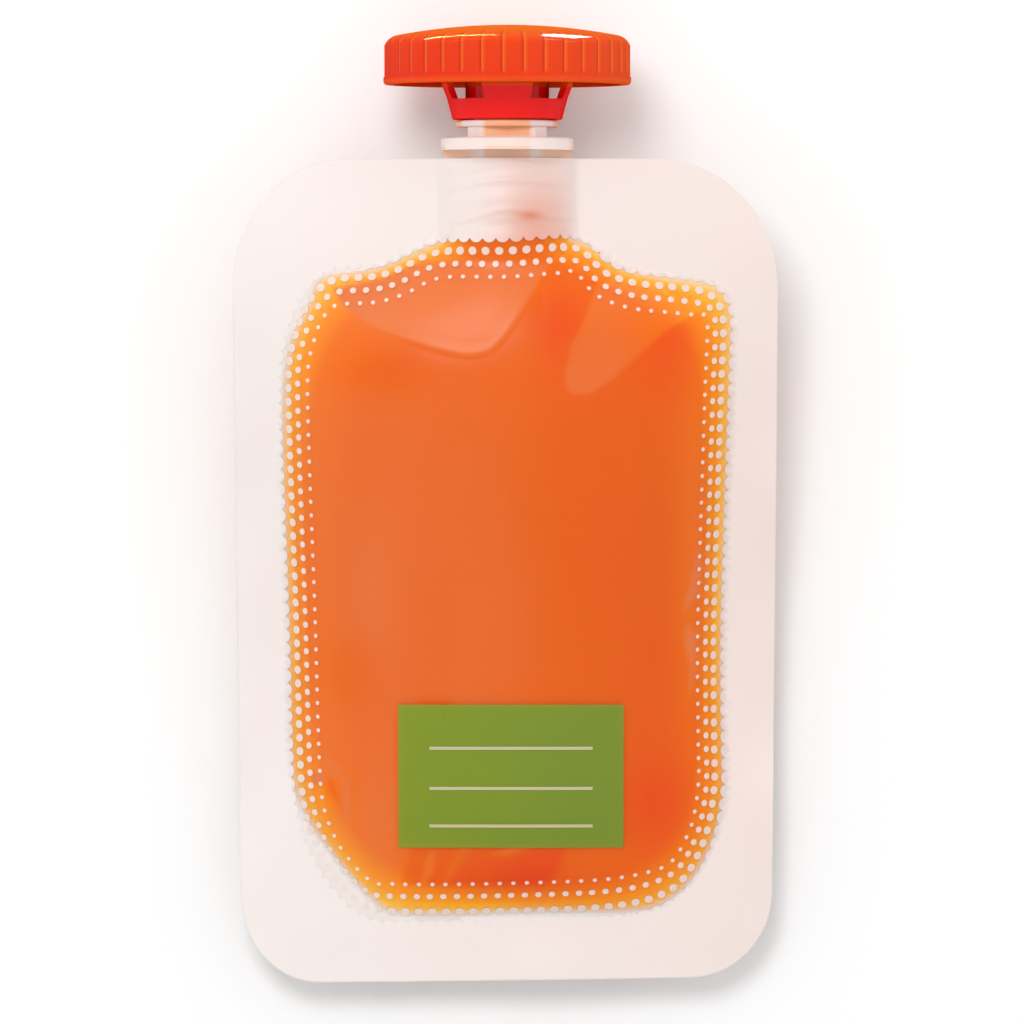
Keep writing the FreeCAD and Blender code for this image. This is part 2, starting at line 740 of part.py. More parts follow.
def make_puree():
    gap = read("fill_gap")
    under = surface(lambda x, y: back_inside(x, y) + gap)
    over = surface(lambda x, y: front_inside(x, y) - gap)
    duct_half = BORE_RADIUS.number + 2 * read("weld_rib_rise") + read("weld_tip")
    duct_low = WELD_FOOT_Y - read("duct_ramp")
    duct_size = (2 * duct_half, WELD_FOOT_Y - gap - duct_low, HIGH)
    duct = Part.makeBox(*duct_size, Vector(-duct_half, duct_low, 0))
    plan = filling_outline().fuse(duct)
    filling = above(under, WALL + gap).common(plan).common(over.extrude(Vector(0, 0, -HIGH)))
    leaf = surface(lambda x, y: seam(y) - WALL - gap)
    beside = level_box(-HIGH / 2, 2 * BOTTOM_Y, FOLD_Y + gap)
    slot = leaf.extrude(Vector(0, 0, 2 * (WALL + gap))).common(beside)
    return made("puree", filling.cut(slot))


PARTS = [make_spout(), make_cap(), make_cap_seal()]
PARTS.extend(make_films(film_outline()))
PARTS.append(make_puree())

doc.recompute()
for item in doc.Objects:
    if "Invalid" in item.State or "Error" in item.State:
        raise RuntimeError(f"{item.Label} failed: {item.State}")
for item in PARTS:
    if item.Shape.isNull() or not item.Shape.isValid():
        raise RuntimeError(f"{item.Label} has no valid shape")
os.makedirs("parts", exist_ok=True)
for item in PARTS:
    item.Shape.exportStep(f"parts/{item.Label}.step")
    box = item.Shape.optimalBoundingBox(False)
    print(
        f"{item.Label}: {len(item.Shape.Solids)} solid, {item.Shape.Volume / 1000:.2f} ml,"
        f" X {box.XMin:.2f} {box.XMax:.2f}, Y {box.YMin:.2f} {box.YMax:.2f}, Z {box.ZMin:.2f} {box.ZMax:.2f}"
    )
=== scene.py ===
"""Looks of a filled squeeze pouch: clear printed films round an orange puree, a spout and a screw cap.

The row frame has the pouch lying on its back, +Y towards the cap and +Z up. The shapes of the soft
pieces are worked out in millimetres and turned into metres when a mesh is made.
"""

import math

import bpy
import numpy as np
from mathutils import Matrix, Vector
from mathutils.bvhtree import BVHTree
from mathutils.geometry import delaunay_2d_cdt


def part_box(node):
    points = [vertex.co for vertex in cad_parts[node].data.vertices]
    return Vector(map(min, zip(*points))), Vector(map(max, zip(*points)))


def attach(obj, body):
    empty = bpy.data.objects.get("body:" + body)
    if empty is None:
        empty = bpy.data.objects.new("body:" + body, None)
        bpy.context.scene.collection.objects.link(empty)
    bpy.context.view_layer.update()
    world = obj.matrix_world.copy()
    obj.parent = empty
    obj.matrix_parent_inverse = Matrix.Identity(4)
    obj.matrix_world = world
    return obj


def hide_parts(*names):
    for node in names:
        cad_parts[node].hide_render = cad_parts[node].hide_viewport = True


MM = 0.001

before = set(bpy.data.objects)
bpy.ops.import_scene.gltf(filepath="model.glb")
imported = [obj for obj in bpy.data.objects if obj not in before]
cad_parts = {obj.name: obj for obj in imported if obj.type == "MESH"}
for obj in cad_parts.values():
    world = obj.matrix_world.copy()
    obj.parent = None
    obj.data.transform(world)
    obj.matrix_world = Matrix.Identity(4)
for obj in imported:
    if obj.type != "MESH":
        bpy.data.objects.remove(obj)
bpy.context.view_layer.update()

# --- sizes, in millimetres, the same as in the CAD model ---

FILM_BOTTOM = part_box("front_film")[0][1] / MM
FILM_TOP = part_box("front_film")[1][1] / MM
HALF_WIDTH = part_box("front_film")[1][0] / MM
AXIS_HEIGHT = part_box("cap")[1][2] / MM / 2
CAP_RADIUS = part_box("cap")[1][0] / MM
WALL = 0.2
BOND = 0.04
SEAL_HEIGHT = 8.0
RISE_START = 38.0
GUSSET_DEPTH = 25.0
BOTTOM_SEAL = 12.6
FRONT_BULGE = 12.0
BACK_BULGE = 14.0
WELD_WIDTH = 21.4
WELD_DEPTH = 10.4
WELD_TIP = 0.8
WELD_GAP = 0.1
WELD_LENGTH = 9.2
DUCT_LENGTH = 12.9
DUCT_RAMP = 9.2
MERGE_POWER = 4
BORE_RADIUS = 4.4
FLUTE_COUNT = 36
FLUTE_PHASE = 7.4

WELD_FOOT = FILM_TOP - WELD_LENGTH
FOLD_Y = FILM_BOTTOM + GUSSET_DEPTH
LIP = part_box("spout")[1][1] / MM

# --- camera ---

CAMERA_AT = (0.76, -1.19, 2500.0)
PIXELS_PER_MM_AT_AXIS = 6.195
SENSOR = 36.0
FRAME_PIXELS = 1024
CLIP_END = 10


def put(name, data, at=(0, 0, 0), aim=None):
    """A new object in the scene. With an aim, its -Z axis points there."""
    item = bpy.data.objects.new(name, data)
    bpy.context.scene.collection.objects.link(item)
    item.location = at
    if aim is not None:
        item.rotation_euler = (Vector(aim) - Vector(at)).to_track_quat("-Z", "Y").to_euler()
    return item


def make_camera():
    data = bpy.data.cameras.new("camera")
    focal_pixels = PIXELS_PER_MM_AT_AXIS * (CAMERA_AT[2] - AXIS_HEIGHT)
    data.sensor_width = SENSOR
    data.lens = focal_pixels * SENSOR / FRAME_PIXELS
    data.clip_end = CLIP_END
    bpy.context.scene.camera = put("camera", data, Vector(CAMERA_AT) * MM)


make_camera()

# --- outlines ---

# Corners of the cut film: the two edges that meet there, and how far the corner's curve runs along
# each of them. The filled pouch is a little narrower at the bottom, where the filling pulls the
# sides in.
FILM_CORNERS = (
    # edge x, edge y, run along x, run along y
    (43.6, FILM_TOP, 19.7, 20.3),
    (-44.2, FILM_TOP, 18.2, 20.3),
    (-43.1, FILM_BOTTOM, 12.6, 14.0),
    (42.9, FILM_BOTTOM + 0.8, 13.3, 14.0),
)
CORNER_STEPS = 14
SIDE_BOW = 0.12

# Edge of the space between the films, counter-clockwise from the spout's left side.
CAVITY = (
    (-7.5, 46.4), (-9.6, 43.6), (-13.8, 41.6), (-21.7, 38.2), (-29.8, 36.8), (-32.2, 32.5),
    (-35.6, 24.6), (-36.6, 9.6), (-36.3, -6.1), (-35.9, -25.0), (-35.4, -42.0), (-33.0, -50.3),
    (-28.0, -57.5), (-23.0, -63.3), (-19.4, -66.1), (-12.8, -66.8), (3.0, -66.4), (21.5, -66.0),
    (27.7, -63.3), (31.5, -58.9), (34.1, -53.4), (35.6, -47.2), (35.6, -40.6), (35.2, -25.0),
    (35.6, -6.1), (36.2, 8.7), (36.6, 20.0), (36.5, 31.2), (35.0, 34.6), (32.0, 36.0),
    (25.0, 37.0), (18.5, 38.7), (14.0, 41.8), (10.0, 43.6), (7.5, 46.4),
)

# Middle line of the first whole row of printed dots, counter-clockwise from the spout.
DOT_LINE = (
    (-9.5, 40.9), (-13.5, 40.0), (-17.4, 38.0), (-21.5, 36.8), (-28.3, 36.2), (-32.2, 32.6),
    (-34.2, 27.5), (-35.3, 21.5), (-35.1, 8.0), (-34.2, -18.0), (-33.6, -40.0), (-33.0, -48.6),
    (-31.5, -54.0), (-28.6, -59.5), (-23.5, -64.8), (-17.1, -66.0), (8.0, -65.6), (19.0, -64.8),
    (25.2, -63.1), (28.9, -60.2), (31.6, -55.2), (32.9, -50.6), (33.6, -44.5), (33.5, -38.0),
    (33.4, -20.0), (34.1, 5.0), (34.5, 18.0), (34.9, 28.0), (34.7, 30.9), (33.6, 33.2),
    (31.5, 34.5), (27.3, 35.1), (21.0, 35.7), (17.0, 36.8), (15.0, 38.0), (13.6, 39.6),
    (11.5, 41.3), (7.7, 41.5), (0.0, 40.9),
)

# Zones whose relief needs a finer mesh: the shoulders, and the film over the spout's base.
FINE_ZONES = (
    # low corner, high corner, pitch
    ((-31.0, 15.0), (33.0, 40.0), 0.55),
    ((-33.0, -63.0), (34.0, -30.0), 0.6),
    ((26.0, -30.0), (34.0, -4.0), 0.6),
    ((-12.5, 43.0), (12.5, 56.5), 0.4),
)

# The points that fill an outline keep this share of a pitch from its edges.
CLEAR_SHARE = 0.45


def corner_run(index):
    """One corner of the film, as points along its curve."""
    edge_x, edge_y, run_x, run_y = FILM_CORNERS[index]
    centre_x = edge_x - math.copysign(run_x, edge_x)
    centre_y = edge_y - math.copysign(run_y, edge_y)
    start = index * math.pi / 2
    for step in range(CORNER_STEPS + 1):
        turn = start + math.pi / 2 * step / CORNER_STEPS
        yield (centre_x + run_x * math.cos(turn), centre_y + run_y * math.sin(turn))


def bowed(loop):
    """The loop with its straight sides bowed outward a little, so that none is quite straight."""
    half = np.abs(loop).max(axis=0)
    share = loop / half
    return loop + SIDE_BOW * share * (1 - share[:, ::-1] ** 2)


def spaced(points, pitch):
    """The same closed line, with points this far apart along it."""
    points = np.asarray(points, float)
    points = np.vstack([points, points[:1]])
    along = np.concatenate([[0], np.cumsum(np.linalg.norm(np.diff(points, axis=0), axis=1))])
    count = max(int(round(along[-1] / pitch)), 3)
    places = np.linspace(0, along[-1], count, endpoint=False)
    return np.column_stack([np.interp(places, along, points[:, axis]) for axis in (0, 1)])


def smooth_loop(points, fine=12):
    """A closed Catmull-Rom curve through the points."""
    points = np.asarray(points, float)
    before, after, beyond = (np.roll(points, shift, axis=0) for shift in (1, -1, -2))
    slope = after - before
    bend = 2 * before - 5 * points + 4 * after - beyond
    twist = 3 * points - before - 3 * after + beyond
    shares = np.arange(fine) / fine
    rows = [0.5 * (2 * points + slope * s + bend * s**2 + twist * s**3) for s in shares]
    return np.stack(rows, axis=1).reshape(-1, 2)


def inside(points, loop):
    """Which of the points lie inside the closed loop."""
    x, y = points[:, 0], points[:, 1]
    result = np.zeros(len(points), bool)
    for (ax, ay), (bx, by) in zip(loop, np.roll(loop, -1, axis=0)):
        crosses = (ay > y) != (by > y)
        if not crosses.any():
            continue
        at = ax + (y - ay) * (bx - ax) / (by - ay if by != ay else 1e-9)
        result ^= crosses & (x < at)
    return result


def gap_to(points, line):
    """How far each of the points is from the nearest point of the line."""
    return np.linalg.norm(points[:, None, :] - line[None, :, :], axis=2).min(axis=1)


def depth_in(points, loop):
    """How far inside the loop each of the points lies. It is below 0 outside."""
    gap = gap_to(points, loop)
    return np.where(inside(points, loop), gap, -gap)


def outward_of(loop):
    """Unit vectors that point out of a counter-clockwise loop, at each of its points."""
    ahead = np.roll(loop, -1, axis=0) - np.roll(loop, 1, axis=0)
    ahead /= np.linalg.norm(ahead, axis=1)[:, None]
    return np.column_stack([ahead[:, 1], -ahead[:, 0]])


def hexagonal_points(low, high, pitch):
    """Points of a triangular lattice that covers a box. Lattices of one pitch share their points."""
    row = pitch * math.sqrt(3)
    rows = np.arange(math.floor(low[1] / row), high[1] / row + 1) * row
    columns = np.arange(math.floor(low[0] / pitch), high[0] / pitch + 1) * pitch
    x, y = np.meshgrid(columns, rows)
    even = np.column_stack([x.ravel(), y.ravel()])
    return np.vstack([even, even + (pitch / 2, row / 2)])


def within(points, low, high):
    return ((points > low) & (points < high)).all(axis=1)


def graded_points(low, high, pitch):
    """Points that cover a box, closer together in the zones that have fine relief."""
    points = hexagonal_points(low, high, pitch)
    for zone_low, zone_high, zone_pitch in FINE_ZONES:
        fine = hexagonal_points(zone_low, zone_high, zone_pitch)
        points = points[~within(points, zone_low, zone_high)]
        points = np.vstack([points, fine[within(fine, zone_low, zone_high)]])
    return points


def triangulate(loops, pitch, hole=None):
    """A triangle mesh of the first loop's inside, with every loop as edges of it."""
    outer = loops[0]
    fill = graded_points(outer.min(axis=0), outer.max(axis=0), pitch)
    fill = fill[inside(fill, outer)]
    if hole is not None:
        fill = fill[~inside(fill, hole)]
    for loop in loops:
        fill = fill[gap_to(fill, loop) > CLEAR_SHARE * pitch]
    edges = []
    start = 0
    for loop in loops:
        edges += [(start + i, start + (i + 1) % len(loop)) for i in range(len(loop))]
        start += len(loop)
    points = [Vector(point) for point in np.vstack([*loops, fill])]
    found, _, faces, *_ = delaunay_2d_cdt(points, edges, [], 0, 1e-5)
    found = np.array([tuple(point) for point in found])
    faces = np.array([tuple(face) for face in faces])
    middles = found[faces].mean(axis=1)
    keep = inside(middles, outer)
    if hole is not None:
        keep &= ~inside(middles, hole)
    return found, faces[keep]


# --- heights of the films ---


def fade(value, start, end):
    """0 at the start and 1 at the end, with a smooth rise between them."""
    share = np.clip((value - start) / (end - start), 0, 1)
    return share * share * (3 - 2 * share)


def seam(y):
    """Height of the sealed edges: low at the bottom, and up to the spout's axis at the top."""
    return SEAL_HEIGHT + (AXIS_HEIGHT - SEAL_HEIGHT) * fade(y, FILM_BOTTOM + RISE_START, WELD_FOOT)


def wave(place, height, stretch, start=0.0):
    return height * np.sin(place / stretch + start)


def ripple(x, y):
    """Slow waves of the sealed edges, which lie free between the filling and the rim."""
    at_side = fade(np.abs(x), 36.5, 43.5) * fade(y, 46.0, 26.0)
    at_bottom = fade(y, -68.0, -76.0)
    along = wave(y, 0.42, 8.5, 1.3 * np.sign(x)) + wave(y, 0.25, 3.9, x / 30.0)
    across = wave(x, 0.38, 9.0, 0.8) + wave(x, 0.16, 4.1)
    return at_side * along + at_bottom * across


def weld_half(x):
    """Half thickness of the spout's base, and of the funnel in front of it."""
    tip = WELD_TIP / 2
    rise = WELD_DEPTH / 2 - tip
    radius = ((WELD_WIDTH / 2) ** 2 + rise**2) / (2 * rise)
    arc = np.sqrt(np.maximum(radius**2 - x**2, 0)) - radius + rise + tip + WELD_GAP
    joined = (arc + WELD_TIP) ** 2 / (4 * WELD_TIP)
    return np.where(arc <= -WELD_TIP, 0, np.where(arc >= WELD_TIP, arc, joined))


def spacer(y):
    """Room for one leaf of the folded web on each side of the seam."""
    return WALL * (1 - fade(y, FOLD_Y, FOLD_Y + BOTTOM_SEAL))


SOLVER_STEPS = 600
SOLVER_LIMIT = 1e-14
SOLVER_FLOOR = 1e-16


def membrane(points, faces, free):
    """Height of a skin under even pressure that is held everywhere but at the free points, 0 to 1.

    It solves the membrane equation on the triangles, with cotangent weights, by conjugate gradients.
    """
    first, second, weight = [], [], []
    load = np.zeros(len(points))
    for turn in range(3):
        a, b, c = (faces[:, (turn + k) % 3] for k in range(3))
        to_a, to_b = points[a] - points[c], points[b] - points[c]
        cross = np.abs(to_a[:, 0] * to_b[:, 1] - to_a[:, 1] * to_b[:, 0])
        first.append(a)
        second.append(b)
        weight.append((to_a * to_b).sum(axis=1) / np.maximum(cross, 1e-9) / 2)
        np.add.at(load, c, cross / 6)
    first, second, weight = (np.concatenate(part) for part in (first, second, weight))
    count = len(points)

    def apply(values):
        flow = weight * (values[first] - values[second])
        total = np.bincount(first, flow, count) - np.bincount(second, flow, count)
        return np.where(free, total, 0)

    height = np.zeros(count)
    rest = np.where(free, load, 0)
    way = rest.copy()
    power = rest @ rest
    for _ in range(SOLVER_STEPS):
        pushed = apply(way)
        step = power / (way @ pushed)
        height += step * way
        rest -= step * pushed
        left = rest @ rest
        if left < max(SOLVER_LIMIT * power, SOLVER_FLOOR):
            break
        way = rest + left / power * way
        power = left
    return np.maximum(height / height.max(), 0)


# Folds of the front film, which creases and patches of colour follow.
TONGUE = (
    (-28.1, 34.9), (-26.4, 31.9), (-22.0, 28.8), (-17.0, 27.0), (-12.1, 25.3),
    (-6.7, 24.0), (-2.9, 24.6), (-0.3, 27.4), (2.6, 31.8), (6.8, 38.6),
)
SHOULDER = (
    (9.1, 20.6), (10.0, 17.9), (13.0, 17.6), (17.0, 20.1),
    (20.9, 23.8), (25.4, 27.8), (30.8, 31.6),
)
CORNER_LEAF = (
    (-30.0, -42.4), (-28.7, -43.9), (-27.5, -46.2), (-26.7, -48.7), (-26.2, -51.7),
    (-25.3, -48.2), (-25.4, -44.9), (-26.7, -42.4), (-29.5, -40.6),
)
PANEL_FOLD = (
    (-14.2, -31.5), (-14.6, -46.7), (-15.6, -55.3), (-17.6, -61.8), (-10.8, -61.8),
    (-8.0, -55.8), (-6.0, -52.7), (-8.5, -46.7), (-8.0, -39.1), (-9.0, -31.5),
)
BOTTOM_FOLD = (
    (-7.0, -49.2), (-6.0, -55.8), (-10.0, -61.8), (5.6, -61.8), (8.1, -59.8),
    (9.4, -55.8), (8.9, -51.7), (6.1, -49.2), (0.0, -48.4),
)
# Parts of the filling whose colour differs from what is round them, with clear edges: paler where air
# lies between the film and the filling, and deeper where the film presses into it, which also paints
# the shade in those folds. The pale slivers beside the creases at the right and the small pale spot at
# the lower left are painted highlights.
LOBES = (
    # outline, strength: deeper above 0, and paler below
    ((*TONGUE, (-4.0, 39.5), (-14.0, 39.0), (-20.0, 36.4)), -0.8),
    ((*SHOULDER, (25.0, 34.5), (17.5, 36.0), (14.4, 35.2), (12.4, 29.6), (10.2, 26.0)), -0.7),
    (((30.9, -7.3), (30.1, -10.5), (29.4, -14.0), (28.1, -17.4), (30.6, -15.0), (31.5, -11.0)), -0.9),
    (((29.1, -19.4), (28.5, -21.9), (29.6, -25.8), (29.4, -31.5), (30.4, -28.0), (30.6, -21.0)), -0.9),
    (((-31.7, -43.6), (-31.7, -44.4), (-30.7, -45.7), (-29.5, -44.9), (-29.2, -43.6)), -1.0),
    (CORNER_LEAF, -0.6),
    (PANEL_FOLD, 0.45),
    (BOTTOM_FOLD, 0.5),
    (((-13.8, -61.3), (-12.1, -59.8), (-11.6, -55.8), (-13.1, -56.8)), -0.8),
    (((-3.0, -56.8), (0.0, -56.8), (3.6, -55.5), (0.6, -55.3)), -0.9),
)
LOBE_EDGE = 0.6

# Creases of the front film: the points that each runs through, its half width, how far it rises as
# a rib, and how far as a step whose high side is to the left of its direction.
CREASES = (
    (TONGUE, 0.55, 0.10, 0.05),
    (tuple((x + 0.5, y + 1.7) for x, y in TONGUE[2:8]), 0.5, -0.04, 0.0),
    (SHOULDER, 0.6, 0.07, 0.05),
    (((14.9, 37.5), (14.4, 34.0), (12.6, 29.9), (10.0, 26.0)), 0.7, -0.12, 0.05),
    (((7.6, 39.5), (6.0, 35.5), (5.6, 30.0)), 0.8, -0.10, 0.05),
    (((-23.5, 4.0), (-20.0, -18.0), (-18.0, -34.0)), 1.4, 0.03, 0.09),
    (((-26.5, 14.0), (-24.5, -4.0), (-24.0, -20.0)), 1.2, 0.0, 0.08),
    (((-17.5, -64.0), (-15.0, -54.0), (-13.0, -40.0)), 1.2, 0.0, -0.16),
    (((-31.0, -40.6), (-27.5, -41.2), (-25.2, -44.8), (-24.8, -50.0), (-26.2, -57.0)), 0.9, 0.16, 0.08),
    (((31.5, -3.0), (29.3, -12.0), (28.2, -18.0)), 0.9, 0.10, 0.0),
    (((28.4, -21.0), (29.2, -31.0), (30.0, -40.0)), 0.9, 0.10, -0.06),
    (((8.0, -1.0), (5.0, -18.0), (7.0, -33.0)), 2.6, 0.0, 0.10),
    (((22.0, 8.0), (19.0, -12.0), (21.0, -30.0)), 2.6, 0.0, -0.10),
)

TOP_RIB = ((-9.5, 53.8), (-4.4, 54.0), (-2.2, 54.9), (0.5, 55.2), (3.7, 55.0), (5.3, 54.1), (10.4, 53.5))
NEXT_RIB = ((-9.6, 50.6), (-6.0, 51.6), (-3.6, 52.1), (0.4, 52.4), (5.3, 52.1), (8.5, 51.6), (10.6, 50.7))
FOOT_RIB = ((-8.9, 45.3), (-6.0, 45.9), (-3.6, 46.7), (0.0, 47.6), (4.5, 46.9), (6.3, 46.2), (10.4, 46.0))
# Ribs that the spout's base presses into the film, in the same form.
WELD_RIBS = (
    (TOP_RIB, 0.45, 0.30, 0.0),
    (NEXT_RIB, 0.55, 0.45, 0.0),
    (((-9.0, 49.0), (0.5, 49.6), (9.5, 49.0)), 1.3, 0.25, 0.0),
    (FOOT_RIB, 0.4, 0.28, 0.12),
    (((-4.5, 44.9), (0.5, 45.2), (5.0, 44.6)), 0.8, -0.32, 0.0),
)
CREASE_STEPS = 12
CREASE_ROUNDS = 20
CREASE_TIP = 0.02


def creased(points, creases, fading):
    """Height that the creases add to the film at the points in plan. They fade towards their ends."""
    total = np.zeros(len(points))
    for line, width, rib, step in creases:
        line = np.asarray(line, float)
        places = np.linspace(0, len(line) - 1, CREASE_STEPS * (len(line) - 1) + 1)
        fine = np.column_stack([np.interp(places, range(len(line)), line[:, k]) for k in (0, 1)])
        for _ in range(CREASE_ROUNDS):
            fine[1:-1] = (fine[:-2] + 2 * fine[1:-1] + fine[2:]) / 4
        gap = points[:, None, :] - fine[None, :, :]
        nearest = np.linalg.norm(gap, axis=2).argmin(axis=1)
        ahead = np.gradient(fine, axis=0)[nearest]
        ahead /= np.linalg.norm(ahead, axis=1)[:, None]
        off = gap[np.arange(len(points)), nearest]
        across = (ahead[:, 0] * off[:, 1] - ahead[:, 1] * off[:, 0]) / width
        past = np.abs((off * ahead).sum(axis=1)) / (2 * width)
        share = np.clip(nearest / (len(fine) - 1), CREASE_TIP, 1 - CREASE_TIP)
        strength = np.sin(np.pi * share) ** fading * np.exp(-(past**2))
        curve = rib * np.exp(-(across**2)) + step * across * np.exp(0.5 - 0.5 * across**2)
        total += strength * curve
    return total


# --- meshes ---


def mesh_object(name, points, faces, material, crisp=True):
    """A mesh object from points in millimetres.

    A crisp one has flat side walls, which are its quads, so that its edges look cut and not rounded.
    """
    mesh = bpy.data.meshes.new(name)
    mesh.from_pydata((np.asarray(points) * MM).tolist(), [], [list(map(int, face)) for face in faces])
    mesh.validate()
    mesh.update()
    mesh.materials.append(material)
    mesh.polygons.foreach_set("use_smooth", [True] * len(mesh.polygons))
    walls = [face for face in mesh.polygons if crisp and len(face.vertices) == 4]
    for wall in walls:
        wall.use_smooth = False
        for loop in wall.loop_indices:
            mesh.edges[mesh.loops[loop].edge_index].use_edge_sharp = True
    return put(name, mesh)


def keep_values(item, name, values):
    """Keep a value for each point of a mesh. The two faces of a closed shell have the same ones."""
    attribute = item.data.attributes.new(name, "FLOAT", "POINT")
    attribute.data.foreach_set("value", np.resize(values, len(item.data.vertices)))


def each_face(shares):
    """What share each of a shell's two faces takes, so that both together make these shares."""
    return 1 - np.sqrt(1 - np.asarray(shares, float))


def boundary_edges(faces):
    """The directed edges that only one of the triangles has."""
    edges = np.concatenate([faces[:, [0, 1]], faces[:, [1, 2]], faces[:, [2, 0]]])
    keys = {(int(a), int(b)) for a, b in edges}
    return [(a, b) for a, b in keys if (b, a) not in keys]


def at_height(points, heights):
    return np.column_stack([points, heights])


def closed_shell(points, over, under, faces):
    """Points and faces of the closed body between two heights of the same triangles."""
    count = len(points)
    up = [tuple(face) for face in faces]
    down = [(a + count, c + count, b + count) for a, b, c in faces]
    rim = [(b, a, a + count, b + count) for a, b in boundary_edges(faces)]
    return np.vstack([at_height(points, over), at_height(points, under)]), up + down + rim


def used_only(points, faces):
    """The points that the triangles use, the triangles of those, and which points they are."""
    used, again = np.unique(faces, return_inverse=True)
    return points[used], again.reshape(faces.shape), used


def counter_clockwise(points, faces):
    a, b, c = (points[faces[:, k]] for k in range(3))
    turn = (b[:, 0] - a[:, 0]) * (c[:, 1] - a[:, 1]) - (b[:, 1] - a[:, 1]) * (c[:, 0] - a[:, 0])
    faces = faces.copy()
    faces[turn < 0] = faces[turn < 0][:, ::-1]
    return faces


# --- materials ---


def linear(*srgb):
    """A colour given as it looks on a screen, 0 to 255, as the linear one that a shader takes."""
    shares = [value / 255 for value in srgb]
    return (*(s / 12.92 if s <= 0.04045 else ((s + 0.055) / 1.055) ** 2.4 for s in shares), 1.0)


def grey(value):
    return (value, value, value, 1.0)


WHITE = grey(1)


class Nodes:
    """The node tree of a material or a world, with short ways to add nodes to it."""

    def __init__(self, owner, output="ShaderNodeOutputMaterial"):
        self.owner = owner
        owner.use_nodes = True
        self.tree = owner.node_tree
        self.tree.nodes.clear()
        self.output = self.add(output)

    def add(self, kind, *values, settings=None, **named):
        """A new node, with what goes into its first inputs and into those named."""
        node = self.tree.nodes.new(kind)
        for key, value in (settings or {}).items():
            setattr(node, key, value)
        for key, value in enumerate(values):
            self.plug(node, key, value)
        for key, value in named.items():
            self.plug(node, key.replace("_", " "), value)
        return node

    def plug(self, node, key, value):
        """Give an input a value, another node's socket, or another node's first output."""
        if isinstance(value, bpy.types.Node):
            value = value.outputs[0]
        if isinstance(value, bpy.types.NodeSocket):
            self.tree.links.new(value, node.inputs[key])
        else:
            node.inputs[key].default_value = value

    def attribute(self, name):
        return self.add("ShaderNodeAttribute", settings={"attribute_name": name}).outputs["Fac"]

    def axis(self, name):
        """The x, y or z of the point that is shaded, in metres in the row frame."""
        point = self.add("ShaderNodeTexCoord").outputs["Object"]
        return self.add("ShaderNodeSeparateXYZ", point).outputs[name]

    def math(self, operation, first, second=0.0, clamp=False):
        settings = {"operation": operation, "use_clamp": clamp}
        return self.add("ShaderNodeMath", first, second, settings=settings)

    def scaled(self, value, factor, plus):
        settings = {"operation": "MULTIPLY_ADD"}
        return self.add("ShaderNodeMath", value, factor, plus, settings=settings)

    def ramp(self, value, *stops):
        """The colour for a value, between stops that each have a place and a colour."""
        node = self.add("ShaderNodeValToRGB", value)
        ramp = node.color_ramp
        while len(ramp.elements) < len(stops):
            ramp.elements.new(1.0)
        for element, (place, colour) in zip(ramp.elements, stops):
            element.position = place
            element.color = colour
        return node

    def levels(self, value, *stops):
        """The same with numbers in place of colours."""
        return self.ramp(value, *((place, grey(level)) for place, level in stops))

    def noise(self, scale, detail, stretch=(1, 1, 1), roughness=0.5):
        point = self.add("ShaderNodeTexCoord").outputs["Object"]
        point = self.add("ShaderNodeMapping", point, Scale=stretch)
        size = {"Scale": scale, "Detail": detail, "Roughness": roughness}
        return self.add("ShaderNodeTexNoise", Vector=point, **size).outputs["Fac"]

    def mix(self, share, first, second):
        node = self.add("ShaderNodeMix", share, settings={"data_type": "RGBA"})
        self.plug(node, 6, first)
        self.plug(node, 7, second)
        return node.outputs[2]

    def bump(self, height, strength, distance=0.0002):
        return self.add("ShaderNodeBump", Height=height, Strength=strength, Distance=distance)

    def plastic(self, colour, roughness, **named):
        named.update(Base_Color=colour, Roughness=roughness)
        return self.add("ShaderNodeBsdfPrincipled", **named)

    def gloss(self, roughness, **named):
        return self.add("ShaderNodeBsdfGlossy", Color=WHITE, Roughness=roughness, **named)

    def coated(self, share, under, over):
        """One shader under another that takes the share."""
        return self.add("ShaderNodeMixShader", share, under, over)

    def see_through(self, share, shader):
        """The shader, let through where share is 0 and solid where it is 1."""
        return self.coated(share, self.add("ShaderNodeBsdfTransparent"), shader)

    def finish(self, shader):
        self.plug(self.output, "Surface", shader)
        return self.owner


def new_material(name):
    return Nodes(bpy.data.materials.new(name))


def film_material():
    """Glossy clear film, frosted where it is sealed: each face's haze is in the mesh."""
    nodes = new_material("film")
    cloud = nodes.scaled(nodes.noise(55, 3), 0.3, 0.85)
    haze = nodes.math("MULTIPLY", nodes.attribute("haze"), cloud, clamp=True)
    shine = nodes.bump(nodes.noise(160, 2), 0.06, 0.0003)
    body = nodes.plastic(linear(255, 246, 242), 0.4)
    facing = nodes.add("ShaderNodeLayerWeight", Normal=shine).outputs["Facing"]
    share = nodes.scaled(nodes.math("POWER", facing, 5.0), 0.5, 0.005)
    gloss = nodes.gloss(0.25, Normal=shine)
    return nodes.finish(nodes.coated(share, nodes.see_through(haze, body), gloss))


def ink_material(name, left, right):
    """Translucent printing ink, a little uneven: how much each face covers is in the mesh.

    Its colour goes slowly from the one on the left edge of the pouch to the one on the right: painted
    light and shade, paler on the left, where the light falls. It blushes where the filling in the spout
    shines through.
    """
    nodes = new_material(name)
    cloud = nodes.noise(60, 3)
    share = nodes.scaled(cloud, 0.08, 0.96)
    share = nodes.math("MULTIPLY", nodes.attribute("cover"), share, clamp=True)
    # Painted light and shade across the pouch: paler to the left, where the light falls.
    across = nodes.scaled(nodes.axis("X"), 0.5 / (HALF_WIDTH * MM), 0.5)
    across = nodes.math("ADD", across, nodes.scaled(cloud, 0.4, -0.2))
    colour = nodes.ramp(across, (0.0, linear(*left)), (1.0, linear(*right)))
    colour = nodes.mix(nodes.attribute("blush"), colour, linear(238, 150, 118))
    shader = nodes.plastic(colour, 0.34, IOR=1.35, Normal=nodes.bump(nodes.noise(320, 2), 0.06))
    return nodes.finish(nodes.see_through(share, shader))


